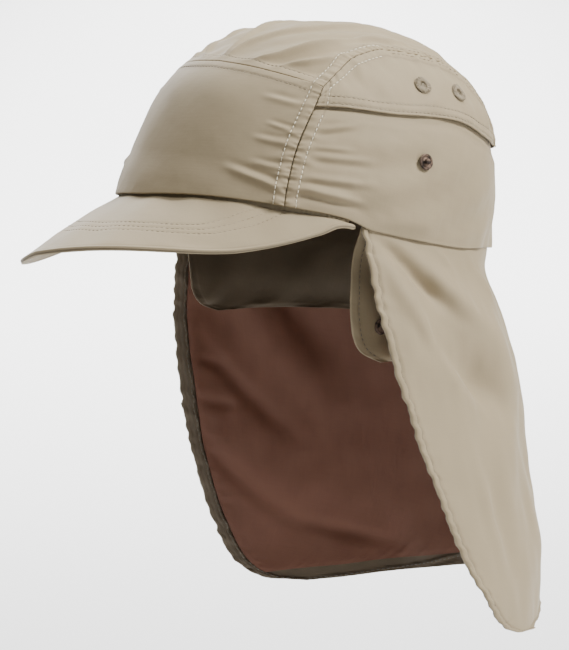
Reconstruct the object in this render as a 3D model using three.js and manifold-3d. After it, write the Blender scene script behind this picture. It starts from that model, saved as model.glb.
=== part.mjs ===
// A legionnaire cap: a soft crown of five pieces, a curved peak, a short inner neck cover and a long
// lined neck flap. Millimetres, +Z up. The origin is the middle of the head opening at the rim.
// The peak points along -Y, and the wearer's left is +X.
import * as THREE from "three";
import { mergeVertices } from "three/addons/utils/BufferGeometryUtils.js";
import Module from "manifold-3d";

// Sizes of the crown.
const headLength = 202;
const headWidth = 167;
const crownHeight = 102.5;
const crownShift = 14;
const rimTilt = 10;
const rimRise = 6.3;
const rimSkew = 3.6;
const skewEndAngle = 78;

// Cloth and clearances.
const clothWall = 1.2;
const seamGap = 0.4;
const layerGap = 0.35;
const hemTuck = 4.5;
const rimTuck = 5;
const topFoldHeight = 1.3;

// The crown pieces' lengths along the cloth, near enough for their seam gaps.
const frontArc = headWidth * 0.92;
const frontRise = crownHeight * 0.8;
const topArc = headWidth * 0.65;
const sideArc = headLength * 0.6;
const sideRise = crownHeight * 0.3;
const bandArc = headLength * 2;
const bandRise = crownHeight * 0.45;

// Sizes of the peak.
const peakReach = 62.5;
const peakWidth = 164;
const peakWall = 2.6;
const peakSeat = 1.1;
const peakEndSetback = 2;
const peakTwist = 13;
const peakBulge = 0.4;
const peakEdgeDrop = 10;
const peakEndAngle = 70;

// Sizes of the neck flap.
const flapLength = 212;
const flapLean = 4.5;
const flapHemRise = 22;
const hemRounding = 0.12;
const flapHemWidth = 7;
const liningWall = 1;
const flapFoldHeight = 4;
const flapSquareness = 2.05;
const flapArc = headLength * 1.75;
const liningInset = layerGap * 3;

// Sizes of the short inner flap.
const innerFlapDepth = 58.5;
const innerFlapLean = 5.5;
const innerFlapDraw = 5.5;
const innerFlapInset = clothWall * 2 + liningWall + layerGap * 3.5;

// Sizes of the small fittings.
const snapRadius = 4.1;
const snapPostRadius = 1.5;
const snapPostHeight = 2.6;
const snapCapHeight = 2.2;
const snapPlate = 0.8;
const eyeletRadius = 4.9;
const eyeletHole = 1.9;
const eyeletThickness = 1.1;

// Crown rings by dome latitude, in degrees. Length, width, shift and tilt are shares of the head
// length, head width, crown shift and rim tilt. Squareness is the ring's superellipse power.
const crownRings = [
  { latitude: 0, length: 0.99, width: 1.0, shift: -0.1, tilt: 1.0, squareness: 2.12 },
  { latitude: 7, length: 0.965, width: 1.03, shift: 0.08, tilt: 0.96, squareness: 2.15 },
  { latitude: 15, length: 0.958, width: 1.06, shift: 0.38, tilt: 0.9, squareness: 2.18 },
  { latitude: 28, length: 0.98, width: 1.11, shift: 0.72, tilt: 0.8, squareness: 2.22 },
  { latitude: 43, length: 1.03, width: 1.2, shift: 0.95, tilt: 0.6, squareness: 2.26 },
  { latitude: 58, length: 1.06, width: 1.3, shift: 1.02, tilt: 0.4, squareness: 2.2 },
  { latitude: 73, length: 1.14, width: 1.42, shift: 0.85, tilt: 0.2, squareness: 2.08 },
  { latitude: 90, length: 1.19, width: 1.48, shift: 0.75, tilt: 0.0, squareness: 2.0 },
];

// How far the rim line stands over its tilted plane, by angle from the front, as a share of rimRise.
// In front it also stands higher on the wearer's left than on the right, by rimSkew a side.
const rimLine = [
  { around: 0, rise: 0.45 },
  { around: 22, rise: 0.55 },
  { around: 50, rise: 0.5 },
  { around: 68, rise: 0.5 },
  { around: 78, rise: 0.1 },
  { around: 98, rise: -0.18 },
  { around: 118, rise: -0.28 },
  { around: 138, rise: 0.0 },
  { around: 180, rise: 0.1 },
];

// The front seam, from the rim up to the top panel's front corner.
const frontSeam = [
  { along: 0, around: 48.1 },
  { along: 0.3, around: 47.5 },
  { along: 0.5, around: 48.3 },
  { along: 0.8, around: 51.1 },
  { along: 1, around: 53 },
];

// The seam between the front panel and the top panel.
const frontTopSeam = [
  { around: 0, latitude: 50.2 },
  { around: 21, latitude: 48.9 },
  { around: 40, latitude: 45.8 },
  { around: 53, latitude: 42.2 },
  { around: 60, latitude: 39.5 },
];

// The seam between the top panel and a side panel, from the front corner to the back hem.
const sideTopSeam = [
  { along: 0, around: 53, latitude: 42.2 },
  { along: 0.1, around: 58, latitude: 49 },
  { along: 0.22, around: 66, latitude: 56.6 },
  { along: 0.34, around: 82, latitude: 61.5 },
  { along: 0.46, around: 98, latitude: 60.4 },
  { along: 0.6, around: 115, latitude: 57.4 },
  { along: 0.72, around: 127, latitude: 52.6 },
  { along: 0.84, around: 134, latitude: 44 },
  { along: 0.93, around: 139, latitude: 36 },
  { along: 1, around: 142, latitude: 28.3 },
];

// The upper hem that lies over the pocket band.
const bandHem = [
  { around: 44, latitude: 34.4 },
  { around: 60, latitude: 35.4 },
  { around: 80, latitude: 34.8 },
  { around: 100, latitude: 35.2 },
  { around: 114, latitude: 34 },
  { around: 127, latitude: 30.9 },
  { around: 144, latitude: 27.9 },
  { around: 180, latitude: 26.5 },
];

// The band's upper edge goes this far past the hem's height, as a share of it. The band sinks by its own
// wall between two shares of its height.
const bandTopShare = 1.08;
const bandSink = { from: 0.45, to: 0.82 };

// Soft folds that run along the top panel. Across is a share of its half width, and height a share of
// topFoldHeight.
const topFolds = [
  { across: -0.72, width: 0.1, height: 0.7 },
  { across: -0.34, width: 0.09, height: 1.0 },
  { across: 0.02, width: 0.08, height: 0.8 },
  { across: 0.36, width: 0.09, height: 1.0 },
  { across: 0.7, width: 0.08, height: 0.9 },
];
const topFoldEnd = 0.87;
const topFoldFade = 0.7;

// The peak's outer edge, from its middle to its end. Drop is a share of peakEdgeDrop, below the rim.
// From the share peakEndBlend on, the edge comes back to just under the rim.
const peakEdge = [
  { along: 0, drop: 0.48 },
  { along: 0.25, drop: 0.67 },
  { along: 0.5, drop: 0.79 },
  { along: 0.65, drop: 0.7 },
  { along: 0.76, drop: 0.31 },
  { along: 0.86, drop: -0.19 },
  { along: 0.94, drop: -0.65 },
  { along: 1, drop: -0.9 },
];
const peakEndBlend = 0.9;

// Neck flap sections from the rim down. Side and back are shares of half the head's width and length,
// and edge is where the flap's front edge stands, in degrees from the front.
const flapSections = [
  { down: 0, side: 0.985, back: 0.95, edge: 75 },
  { down: 0.06, side: 1.03, back: 0.925, edge: 76 },
  { down: 0.14, side: 1.09, back: 0.985, edge: 77.5 },
  { down: 0.28, side: 1.185, back: 1.06, edge: 80.8 },
  { down: 0.43, side: 1.25, back: 1.105, edge: 85.4 },
  { down: 0.57, side: 1.305, back: 1.14, edge: 90 },
  { down: 0.71, side: 1.353, back: 1.17, edge: 95.6 },
  { down: 0.84, side: 1.4, back: 1.185, edge: 102 },
  { down: 0.93, side: 1.43, back: 1.185, edge: 108 },
  { down: 0.98, side: 1.445, back: 1.18, edge: 116 },
  { down: 1, side: 1.45, back: 1.175, edge: 126 },
];

// Main folds of the neck flap, the same on both sides. Width is in shares of the flap's length, and
// height a share of flapFoldHeight, with valleys below 0. Folds start at the share foldStart below the
// rim, and each keeps some of its depth past its ends.
const flapFolds = [
  { fromAround: 84, fromDown: -0.02, toAround: 132, toDown: 0.5, width: 0.05, height: -1.0 },
  { fromAround: 104, fromDown: 0.02, toAround: 142, toDown: 0.46, width: 0.06, height: 0.8 },
  { fromAround: 150, fromDown: 0.0, toAround: 153, toDown: 0.24, width: 0.03, height: -0.6 },
  { fromAround: 98, fromDown: 0.56, toAround: 118, toDown: 1.1, width: 0.09, height: 0.7 },
  { fromAround: 165, fromDown: 0.3, toAround: 158, toDown: 1.1, width: 0.08, height: -0.8 },
];
const foldStart = 0.12;
const foldEndShare = 0.08;

// Inner flap sections from the rim down. Draw is a share of innerFlapDraw, inwards from the rim.
const innerSections = [
  { down: 0, draw: 0, edge: 73 },
  { down: 0.2, draw: 0.6, edge: 72.5 },
  { down: 0.45, draw: 1.0, edge: 73 },
  { down: 0.65, draw: 1.1, edge: 73.8 },
  { down: 0.8, draw: 1.1, edge: 75.8 },
  { down: 0.92, draw: 1.05, edge: 80 },
  { down: 1, draw: 1.0, edge: 89 },
];

// Places of the fittings: angle from the front and dome latitude, or share down the inner flap. A side
// panel ends at the share sidePanelEnd of its seam, so that its corner isn't needle thin.
const eyeletPlaces = [
  { name: "front", around: 96.3, latitude: 46.2 },
  { name: "back", around: 116.2, latitude: 44.3 },
];
const sidePanelEnd = 0.97;
const studPlace = { around: 93.6, latitude: 21.3 };
const socketPlace = { around: 86.5, down: 0.72 };

// How finely each piece is divided.
const panelRows = 10;
const panelColumns = 20;
const bandColumns = 40;
const bandRows = 6;
const topRows = 14;
const sideColumns = 14;
const sideRows = 5;
const peakColumns = 28;
const flapColumns = 32;
const innerColumns = 30;
const turnSides = 14;

const khaki = { color: 0xb9b09c, roughness: 0.78, metalness: 0 };
const darkOlive = { color: 0x2f2c24, roughness: 0.85, metalness: 0 };
const brown = { color: 0x5a3a30, roughness: 0.8, metalness: 0 };
const thread = { color: 0xc9bfa8, roughness: 0.7, metalness: 0 };
const copper = { color: 0x7a4a34, roughness: 0.38, metalness: 0.9 };

const wasm = await Module();
wasm.setup();

const { degToRad, radToDeg, lerp, clamp, smoothstep } = THREE.MathUtils;

// A smooth curve through a table's column, read at x along its key column.
function readTable(table, key, column, x) {
  const last = table.length - 1;
  const at = clamp(x, table[0][key], table[last][key]);
  let i = 0;
  while (i < last - 1 && at > table[i + 1][key]) i++;
  const slope = (j) => {
    const a = table[Math.max(j - 1, 0)];
    const b = table[Math.min(j + 1, last)];
    return (b[column] - a[column]) / (b[key] - a[key]);
  };
  const step = table[i + 1][key] - table[i][key];
  const s = (at - table[i][key]) / step;
  const from = table[i][column] * (1 + 2 * s) * (1 - s) ** 2 + slope(i) * step * s * (1 - s) ** 2;
  const to = table[i + 1][column] * s * s * (3 - 2 * s) + slope(i + 1) * step * s * s * (s - 1);
  return from + to;
}

// The radius of a superellipse in the direction of an angle.
function ringRadius(angle, halfWidth, halfLength, power) {
  const across = Math.abs(Math.cos(angle) / halfWidth) ** power;
  const along = Math.abs(Math.sin(angle) / halfLength) ** power;
  return (across + along) ** (-1 / power);
}

// A direction from the dome's middle, by degrees from the front and degrees up.
function direction(around, latitude) {
  const turn = degToRad(around - 90);
  const up = degToRad(latitude);
  return new THREE.Vector3(
    Math.cos(up) * Math.cos(turn),
    Math.cos(up) * Math.sin(turn),
    Math.sin(up),
  );
}

// The crown's outer surface in a direction.
function domePoint(dir) {
  const turn = Math.atan2(dir.y, dir.x);
  const up = Math.atan2(dir.z, Math.hypot(dir.x, dir.y));
  const ring = (column) => readTable(crownRings, "latitude", column, radToDeg(up));
  const halfWidth = (headWidth / 2) * ring("width");
  const halfLength = (headLength / 2) * ring("length");
  const radius = Math.cos(up) * ringRadius(turn, halfWidth, halfLength, ring("squareness"));
  const forward = radius * Math.sin(turn);
  const lean = Math.tan(degToRad(rimTilt * ring("tilt")));
  return new THREE.Vector3(
    radius * Math.cos(turn),
    crownShift * ring("shift") + forward,
    crownHeight * Math.sin(up) - forward * lean,
  );
}

// The outward normal of the crown in a direction.
function domeNormal(dir) {
  const step = 0.01;
  const unit = dir.clone().normalize();
  const aside = new THREE.Vector3(Math.abs(unit.x) < 0.9 ? 1 : 0, Math.abs(unit.x) < 0.9 ? 0 : 1, 0);
  const a = aside.cross(unit).normalize();
  const b = unit.clone().cross(a);
  const along = (v) => {
    const ahead = domePoint(unit.clone().addScaledVector(v, step));
    return ahead.sub(domePoint(unit.clone().addScaledVector(v, -step)));
  };
  return along(a).cross(along(b)).normalize();
}

// A point at a height over the crown's outer surface, or under it where height is below 0.
function overDome(dir, height) {
  return domePoint(dir).addScaledVector(domeNormal(dir), height);
}

// Degrees of latitude that a length covers along the crown.
const latitudeOf = (length) => radToDeg(length / crownHeight);

// The angle from the front, without its side.
const fromFront = (around) => Math.abs(around > 180 ? 360 - around : around);

// Latitudes of the rim, the front-top seam and the hem over the band.
function rimLatitude(around) {
  const rise = rimRise * readTable(rimLine, "around", "rise", fromFront(around));
  const turn = clamp(around > 180 ? around - 360 : around, -skewEndAngle, skewEndAngle);
  return latitudeOf(rise + rimSkew * Math.sin((Math.PI * turn) / skewEndAngle));
}
const frontTopLatitude = (around) =>
  readTable(frontTopSeam, "around", "latitude", fromFront(around));
const hemLatitude = (around) => readTable(bandHem, "around", "latitude", fromFront(around));

// The front seam's angle and the crown direction there, by share of its height.
const seamAround = (along) => readTable(frontSeam, "along", "around", along);
function frontSeamDirection(along, side) {
  const around = seamAround(along);
  const latitude = lerp(rimLatitude(around), frontTopLatitude(around), along);
  return direction(side * around, latitude);
}

// The share of the front seam's height where the upper hem meets it.
const nearHem = 0.8;
const hemAlong = (() => {
  const around = seamAround(nearHem);
  const low = rimLatitude(around);
  return (hemLatitude(around) - low) / (frontTopLatitude(around) - low);
})();

function sideTopDirection(along, side) {
  const around = readTable(sideTopSeam, "along", "around", along);
  return direction(side * around, readTable(sideTopSeam, "along", "latitude", along));
}

// Fills four edge curves with a smooth sheet of directions. Each edge is a function of a share.
function fillEdges(front, back, left, right) {
  const corners = [front(0), front(1), back(0), back(1)];
  return (u, v) => {
    const sum = new THREE.Vector3();
    sum.addScaledVector(front(u), 1 - v).addScaledVector(back(u), v);
    sum.addScaledVector(left(v), 1 - u).addScaledVector(right(v), u);
    const shares = [(1 - u) * (1 - v), u * (1 - v), (1 - u) * v, u * v];
    corners.forEach((corner, i) => sum.addScaledVector(corner, -shares[i]));
    return sum.normalize();
  };
}

// Evenly spaced shares from 0 to 1.
const evenShares = (count) => Array.from({ length: count + 1 }, (_, i) => i / count);

// A geometry from points and triangles, with equal points joined and empty triangles dropped.
function solidGeometry(points, faces) {
  const raw = new THREE.BufferGeometry();
  raw.setAttribute("position", new THREE.Float32BufferAttribute(points.flatMap((p) => p.toArray()), 3));
  raw.setIndex(faces);
  const joined = mergeVertices(raw, 1e-4);
  const kept = [];
  const index = joined.index.array;
  for (let i = 0; i < index.length; i += 3) {
    const [a, b, c] = [index[i], index[i + 1], index[i + 2]];
    if (a !== b && b !== c && c !== a) kept.push(a, b, c);
  }
  joined.setIndex(kept);
  return joined;
}

// A closed wall between an outer and an inner sheet. Both are functions of a column and a row share.
// Columns run so that, seen from outside, rows rise to the left of their direction.
function wallGeometry(columns, rows, outer, inner) {
  const points = [];
  const faces = [];
  const wide = columns.length;
  const tall = rows.length;
  for (const sheet of [outer, inner]) {
    rows.forEach((v) => columns.forEach((u) => points.push(sheet(u, v))));
  }
  const at = (layer, i, j) => layer * wide * tall + j * wide + i;
  const quad = (a, b, c, d) => faces.push(a, b, c, a, c, d);
  for (let j = 0; j < tall - 1; j++) {
    for (let i = 0; i < wide - 1; i++) {
      quad(at(0, i, j), at(0, i + 1, j), at(0, i + 1, j + 1), at(0, i, j + 1));
      quad(at(1, i, j), at(1, i, j + 1), at(1, i + 1, j + 1), at(1, i + 1, j));
    }
  }
  for (let i = 0; i < wide - 1; i++) {
    quad(at(0, i, 0), at(1, i, 0), at(1, i + 1, 0), at(0, i + 1, 0));
    quad(at(0, i, tall - 1), at(0, i + 1, tall - 1), at(1, i + 1, tall - 1), at(1, i, tall - 1));
  }
  for (let j = 0; j < tall - 1; j++) {
    quad(at(0, 0, j), at(0, 0, j + 1), at(1, 0, j + 1), at(1, 0, j));
    quad(at(0, wide - 1, j), at(1, wide - 1, j), at(1, wide - 1, j + 1), at(0, wide - 1, j + 1));
  }
  return solidGeometry(points, faces);
}

// Moves a share away from both ends of a span by half the seam gap.
const insetShare = (share, length) => lerp(share, 0.5, seamGap / length);

// A crown piece: a cloth wall over a sheet of directions, raised where a height is given.
function panelGeometry(columns, rows, sheet, width, depth, height = () => 0) {
  const place = (u, v, under) => {
    const dir = sheet(insetShare(u, width), insetShare(v, depth));
    return overDome(dir, height(u, v) - under);
  };
  return wallGeometry(columns, rows, (u, v) => place(u, v, 0), (u, v) => place(u, v, clothWall));
}

// The rows of the front panel, with one where the upper hem meets the front seam.
function seamShares() {
  const low = evenShares(bandRows).map((share) => share * hemAlong);
  const high = evenShares(panelRows - bandRows).map((share) => lerp(hemAlong, 1, share));
  return [...low, ...high.slice(1)];
}

function frontPanel() {
  const sheet = (u, v) => {
    const around = (2 * u - 1) * seamAround(v);
    return direction(around, lerp(rimLatitude(around), frontTopLatitude(around), v));
  };
  return panelGeometry(evenShares(panelColumns), seamShares(), sheet, frontArc, frontRise);
}

// The raised height of the top panel's folds.
function topFold(u, v) {
  const across = 2 * u - 1;
  const fade = Math.sin(Math.PI * clamp(v / topFoldEnd, 0, 1)) ** topFoldFade;
  let height = 0;
  for (const fold of topFolds) {
    height += fold.height * Math.exp(-(((across - fold.across) / fold.width) ** 2));
  }
  return topFoldHeight * fade * height;
}

function topPanel() {
  const front = (u) => {
    const around = (2 * u - 1) * seamAround(1);
    return direction(around, frontTopLatitude(around));
  };
  const backAngle = sideTopSeam.at(-1).around;
  const back = (u) => {
    const around = 180 - (2 * u - 1) * (180 - backAngle);
    return direction(around, hemLatitude(around));
  };
  const left = (v) => sideTopDirection(v, -1);
  const right = (v) => sideTopDirection(v, 1);
  const sheet = fillEdges(front, back, left, right);
  const columns = evenShares(panelColumns);
  return panelGeometry(columns, evenShares(topRows), sheet, topArc, headLength, topFold);
}

// The side panel with its two eyelet holes. Side is 1 on the wearer's left and -1 on the right.
function sidePanel(side) {
  const frontAngle = seamAround(hemAlong);
  const backAngle = sideTopSeam.at(-1).around;
  const endAngle = lerp(frontAngle, backAngle, sidePanelEnd);
  const hem = (u) => {
    const around = lerp(frontAngle, endAngle, u);
    return direction(side * around, hemLatitude(around));
  };
  const seam = (u) => sideTopDirection(u * sidePanelEnd, side);
  const front = (v) => frontSeamDirection(lerp(hemAlong, 1, v), side);
  const back = (v) => hem(1).lerp(seam(1), v);
  const sheet = fillEdges(hem, seam, front, back);
  const turned = side > 0 ? sheet : (u, v) => sheet(1 - u, v);
  const columns = evenShares(sideColumns);
  const wall = panelGeometry(columns, evenShares(sideRows), turned, sideArc, sideRise);
  return eyeletPlaces.reduce((panel, place) => {
    const dir = direction(side * place.around, place.latitude);
    return subtract(panel, punch(dir));
  }, wall);
}

// A pin through the crown wall, for a hole.
function punch(dir) {
  const pin = new THREE.CylinderGeometry(
    eyeletHole + seamGap,
    eyeletHole + seamGap,
    clothWall * 8,
    turnSides,
  );
  pin.rotateX(Math.PI / 2);
  const turn = new THREE.Quaternion().setFromUnitVectors(new THREE.Vector3(0, 0, 1), domeNormal(dir));
  pin.applyQuaternion(turn);
  const middle = domePoint(dir);
  pin.translate(middle.x, middle.y, middle.z);
  return pin;
}

function toManifold(geometry) {
  const bare = geometry.clone();
  bare.deleteAttribute("normal");
  bare.deleteAttribute("uv");
  const joined = mergeVertices(bare, 1e-4);
  return new wasm.Manifold(
    new wasm.Mesh({
      numProp: 3,
      vertProperties: new Float32Array(joined.attributes.position.array),
      triVerts: new Uint32Array(joined.index.array),
    }),
  );
}

function subtract(from, tool) {
  const mesh = toManifold(from).subtract(toManifold(tool)).getMesh();
  const geometry = new THREE.BufferGeometry();
  geometry.setAttribute("position", new THREE.Float32BufferAttribute(mesh.vertProperties, 3));
  geometry.setIndex(Array.from(mesh.triVerts));
  return geometry;
}

// The band round the sides and back. Its upper edge sinks under the upper hem and is tucked there.
function pocketBand() {
  const tuck = latitudeOf(hemTuck);
  const topAlong = hemAlong * bandTopShare;
  const sheet = (u, v) => {
    const around = 180 - (2 * u - 1) * (seamAround(v * topAlong) - 180);
    return direction(around, lerp(rimLatitude(around), hemLatitude(around) + tuck, v));
  };
  const sink = (u, v) => -(clothWall + layerGap) * smoothstep(v, bandSink.from, bandSink.to);
  const rows = evenShares(bandRows + 1);
  return panelGeometry(evenShares(bandColumns), rows, sheet, bandArc, bandRise, sink);
}

// The peak's inner line under the rim, tucked up inside the crown or down at the rim's edge.
function peakRoot(around, up) {
  const latitude = rimLatitude(around) + latitudeOf(up);
  return overDome(direction(around, latitude), -(clothWall + 2 * layerGap));
}

// The peak's outer edge by a share from -1, the wearer's right end, to 1. At its ends it comes back to
// just under the rim, where the root given stands.
function peakRim(across, root) {
  const end = domePoint(direction(peakEndAngle, rimLatitude(peakEndAngle)));
  const tip = domePoint(direction(0, rimLatitude(0))).y - peakReach;
  const turn = (across * Math.PI) / 2;
  const drop = peakEdgeDrop * readTable(peakEdge, "along", "drop", Math.abs(across));
  const ending = smoothstep(Math.abs(across), peakEndBlend, 1);
  return new THREE.Vector3(
    (peakWidth / 2) * Math.sin(turn),
    end.y + peakEndSetback + (tip - end.y - peakEndSetback) * Math.cos(turn),
    lerp(-drop, root.z - peakSeat, ending),
  );
}

// The peak's upper face: across from -1 to 1, out from the rim (0) to the edge (1).
function peakTop(across, out) {
  const root = peakRoot(across * peakEndAngle, -peakSeat);
  const edge = peakRim(across, root);
  const point = root.clone().lerp(edge, out);
  const reach = edge.distanceTo(root);
  point.z += peakBulge * Math.sin(Math.PI * out) * clamp(reach / peakReach, 0, 1);
  const forward = clamp((root.y - point.y) / peakReach, 0, 1);
  point.z += Math.tan(degToRad(peakTwist)) * point.x * forward ** 2;
  return point;
}

function peak() {
  const tuckRows = [-1, -0.4];
  const rows = [...tuckRows, 0, 0.12, 0.28, 0.46, 0.64, 0.82, 0.94, 1];
  const columns = evenShares(peakColumns).map((share) => 1 - 2 * share);
  const upper = (u, v) => (v < 0 ? peakRoot(u * peakEndAngle, -v * rimTuck) : peakTop(u, v));
  const lower = (u, v) => {
    const step = 0.02;
    const across = upper(Math.min(u + step, 1), v).sub(upper(Math.max(u - step, -1), v));
    const out = upper(u, Math.min(v + step, 1)).sub(upper(u, Math.max(v - step, -1)));
    const down = out.cross(across).normalize();
    return upper(u, v).addScaledVector(down, -peakWall);
  };
  return wallGeometry(columns, rows, (u, v) => upper(u, v), lower);
}

// Height of the neck flap's hem, by angle from the front. It rises to the back and hangs a little
// lower on the wearer's right.
function flapHemHeight(around) {
  const turn = degToRad(around - 90);
  const rise = flapHemRise * (1 - Math.hypot(Math.cos(turn), hemRounding));
  return rise + flapLean * Math.cos(turn) - flapLength;
}

// The summed depth of the neck flap's folds at a place.
function flapFold(around, down) {
  const spread = (degToRad(1) * headLength) / 2 / flapLength;
  let height = 0;
  for (const fold of flapFolds) {
    const run = new THREE.Vector2(
      (fold.toAround - fold.fromAround) * spread,
      fold.toDown - fold.fromDown,
    );
    const here = new THREE.Vector2(
      (fromFront(around) - fold.fromAround) * spread,
      down - fold.fromDown,
    );
    const along = clamp(here.dot(run) / run.lengthSq(), 0, 1);
    const off = here.distanceTo(run.clone().multiplyScalar(along));
    const fade = Math.sin(Math.PI * clamp(along, foldEndShare, 1 - foldEndShare));
    height += fold.height * fade * Math.exp(-((off / fold.width) ** 2));
  }
  return flapFoldHeight * height * smoothstep(down, 0, foldStart);
}

// The neck flap's outer sheet before it is thickened. Below the rim it flares, and above it lies
// inside the band.
function flapSheet(around, down) {
  const turn = degToRad(around - 90);
  const up = Math.max(-down, 0) * flapLength;
  const dir = direction(around, rimLatitude(around) + latitudeOf(up));
  const root = overDome(dir, -(clothWall + layerGap));
  if (down <= 0) return root;
  const section = (at) => {
    const halfWidth = (headWidth / 2) * readTable(flapSections, "down", "side", at);
    const halfLength = (headLength / 2) * readTable(flapSections, "down", "back", at);
    return ringRadius(turn, halfWidth, halfLength, flapSquareness);
  };
  const out = section(down) - section(0) + flapFold(around, down);
  return new THREE.Vector3(
    root.x + out * Math.cos(turn),
    root.y + out * Math.sin(turn),
    lerp(root.z, flapHemHeight(around), down),
  );
}

// Thickens a sheet that is a function of angle and share down, inwards from its outer face.
function underSheet(sheet, around, down, depth) {
  const step = 0.5;
  const drop = 0.01;
  const across = sheet(around + step, down).sub(sheet(around - step, down));
  const along = sheet(around, down + drop).sub(sheet(around, down - drop));
  const inward = across.cross(along).normalize();
  return sheet(around, down).addScaledVector(inward, depth);
}

// The angle of a column between a flap's two front edges.
const flapAngle = (table, u, down) => {
  const edge = readTable(table, "down", "edge", Math.max(down, 0));
  return lerp(edge, 360 - edge, u);
};

const flapRows = [
  -rimTuck / flapLength, 0, 0.035, 0.09, 0.16, 0.25, 0.36, 0.48, 0.6, 0.72, 0.83, 0.91,
];

// The shares of the flap's columns and rows between its hems, which the lining keeps to. A column
// closer to the hem than half its width is left out.
function flapGrid(border) {
  const side = border / flapArc;
  const low = border / flapLength;
  const columns = evenShares(flapColumns).filter((u) => Math.abs(u - 0.5) < 0.5 - side * 1.5);
  return { columns: [side, ...columns, 1 - side], rows: [...flapRows, 1 - low] };
}

// The long flap's cloth, twice as thick where its hem is turned in beside the lining.
function neckFlap() {
  const outline = flapGrid(flapHemWidth);
  const inside = flapGrid(flapHemWidth + layerGap);
  const columns = [0, outline.columns[0], ...inside.columns, outline.columns.at(-1), 1];
  const rows = [...flapRows, inside.rows.at(-1), outline.rows.at(-1), 1];
  const [sideHem, lowHem] = [inside.columns[0], inside.rows.at(-1)];
  const depth = (u, v) => {
    const hemmed = u < sideHem || u > 1 - sideHem || v > lowHem;
    return hemmed ? clothWall + layerGap + liningWall : clothWall;
  };
  const outer = (u, v) => underSheet(flapSheet, flapAngle(flapSections, u, v), v, 0);
  const inner = (u, v) => underSheet(flapSheet, flapAngle(flapSections, u, v), v, depth(u, v));
  return wallGeometry(columns, rows, ...flipRows(outer, inner));
}

// Rows of a flap run down, so its columns are turned round to keep its faces pointing out.
function flipRows(outer, inner) {
  return [(u, v) => outer(1 - u, v), (u, v) => inner(1 - u, v)];
}

function neckFlapLining() {
  const { columns, rows } = flapGrid(flapHemWidth + liningInset);
  const top = clothWall + layerGap;
  const face = (depth) => (u, v) =>
    underSheet(flapSheet, flapAngle(flapSections, u, v), v, depth);
  return wallGeometry(columns, rows, ...flipRows(face(top), face(top + liningWall)));
}

// The inner flap's outer sheet, hanging from inside the long flap.
function innerSheet(around, down) {
  const turn = degToRad(around - 90);
  const up = Math.max(-down, 0) * innerFlapDepth;
  const dir = direction(around, rimLatitude(around) + latitudeOf(up));
  const root = overDome(dir, -innerFlapInset);
  const draw = innerFlapDraw * readTable(innerSections, "down", "draw", Math.max(down, 0));
  const hem = -innerFlapDepth - innerFlapLean * Math.cos(turn);
  return new THREE.Vector3(
    root.x - draw * Math.cos(turn),
    root.y - draw * Math.sin(turn),
    lerp(root.z, hem, Math.max(down, 0)),
  );
}

function innerFlap() {
  const columns = evenShares(innerColumns);
  const rows = [-rimTuck / innerFlapDepth, 0, 0.2, 0.45, 0.65, 0.8, 0.92, 1];
  const face = (depth) => (u, v) =>
    underSheet(innerSheet, flapAngle(innerSections, u, v), v, depth);
  return wallGeometry(columns, rows, ...flipRows(face(0), face(clothWall)));
}

// A turned fitting from its half outline, standing along +Z.
function turned(outline) {
  const points = outline.map(([radius, height]) => new THREE.Vector2(radius, height));
  const geometry = new THREE.LatheGeometry(points, turnSides);
  geometry.rotateX(Math.PI / 2);
  return geometry;
}

// A snap's plate with its post, seen on the band.
function snapStud() {
  return turned([
    [0, 0],
    [snapRadius, 0],
    [snapRadius, snapPlate * 0.6],
    [snapRadius * 0.82, snapPlate],
    [snapPostRadius * 1.3, snapPlate * 0.6],
    [snapPostRadius * 0.85, snapPlate * 1.4],
    [snapPostRadius, snapPostHeight * 0.75],
    [snapPostRadius * 0.6, snapPostHeight],
    [0, snapPostHeight],
  ]);
}

// A snap's domed cap, seen on the inner flap.
function snapSocket() {
  return turned([
    [0, 0],
    [snapRadius * 0.95, 0],
    [snapRadius, snapCapHeight * 0.35],
    [snapRadius * 0.8, snapCapHeight * 0.75],
    [snapRadius * 0.45, snapCapHeight],
    [snapRadius * 0.2, snapCapHeight * 0.8],
    [0, snapCapHeight * 0.8],
  ]);
}

// A stitched ring round an eyelet.
function eyeletRing() {
  const outline = [
    [eyeletHole, 0],
    [eyeletRadius, 0],
    [eyeletRadius * 0.96, eyeletThickness * 0.6],
    [eyeletRadius * 0.72, eyeletThickness],
    [eyeletHole * 1.15, eyeletThickness * 0.7],
    [eyeletHole, 0],
  ];
  return turned(outline);
}

const group = new THREE.Group();

// Adds a mesh, optionally placed at a point with its +Z along a direction.
function add(name, geometry, finish, point, facing) {
  const mesh = new THREE.Mesh(geometry, new THREE.MeshStandardMaterial(finish));
  mesh.name = name;
  if (point) {
    mesh.position.copy(point);
    mesh.quaternion.setFromUnitVectors(new THREE.Vector3(0, 0, 1), facing);
  }
  group.add(mesh);
}

add("front_panel", frontPanel(), khaki);
add("top_panel", topPanel(), khaki);
add("pocket_band", pocketBand(), khaki);
add("peak", peak(), khaki);
add("neck_flap", neckFlap(), khaki);
add("neck_flap_lining", neckFlapLining(), brown);
add("inner_flap", innerFlap(), darkOlive);

for (const [label, side] of [["left", 1], ["right", -1]]) {
  add(`side_panel_${label}`, sidePanel(side), khaki);
  for (const place of eyeletPlaces) {
    const dir = direction(side * place.around, place.latitude);
    const seat = overDome(dir, layerGap);
    add(`eyelet_${label}_${place.name}`, eyeletRing(), thread, seat, domeNormal(dir));
  }
  const stud = direction(side * studPlace.around, studPlace.latitude);
  add(`snap_stud_${label}`, snapStud(), copper, overDome(stud, layerGap), domeNormal(stud));
  const around = side > 0 ? socketPlace.around : 360 - socketPlace.around;
  const outside = underSheet(innerSheet, around, socketPlace.down, -layerGap);
  const inside = underSheet(innerSheet, around, socketPlace.down, 0);
  const facing = outside.clone().sub(inside).normalize();
  add(`snap_socket_${label}`, snapSocket(), copper, outside, facing);
}

export default group;
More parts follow.
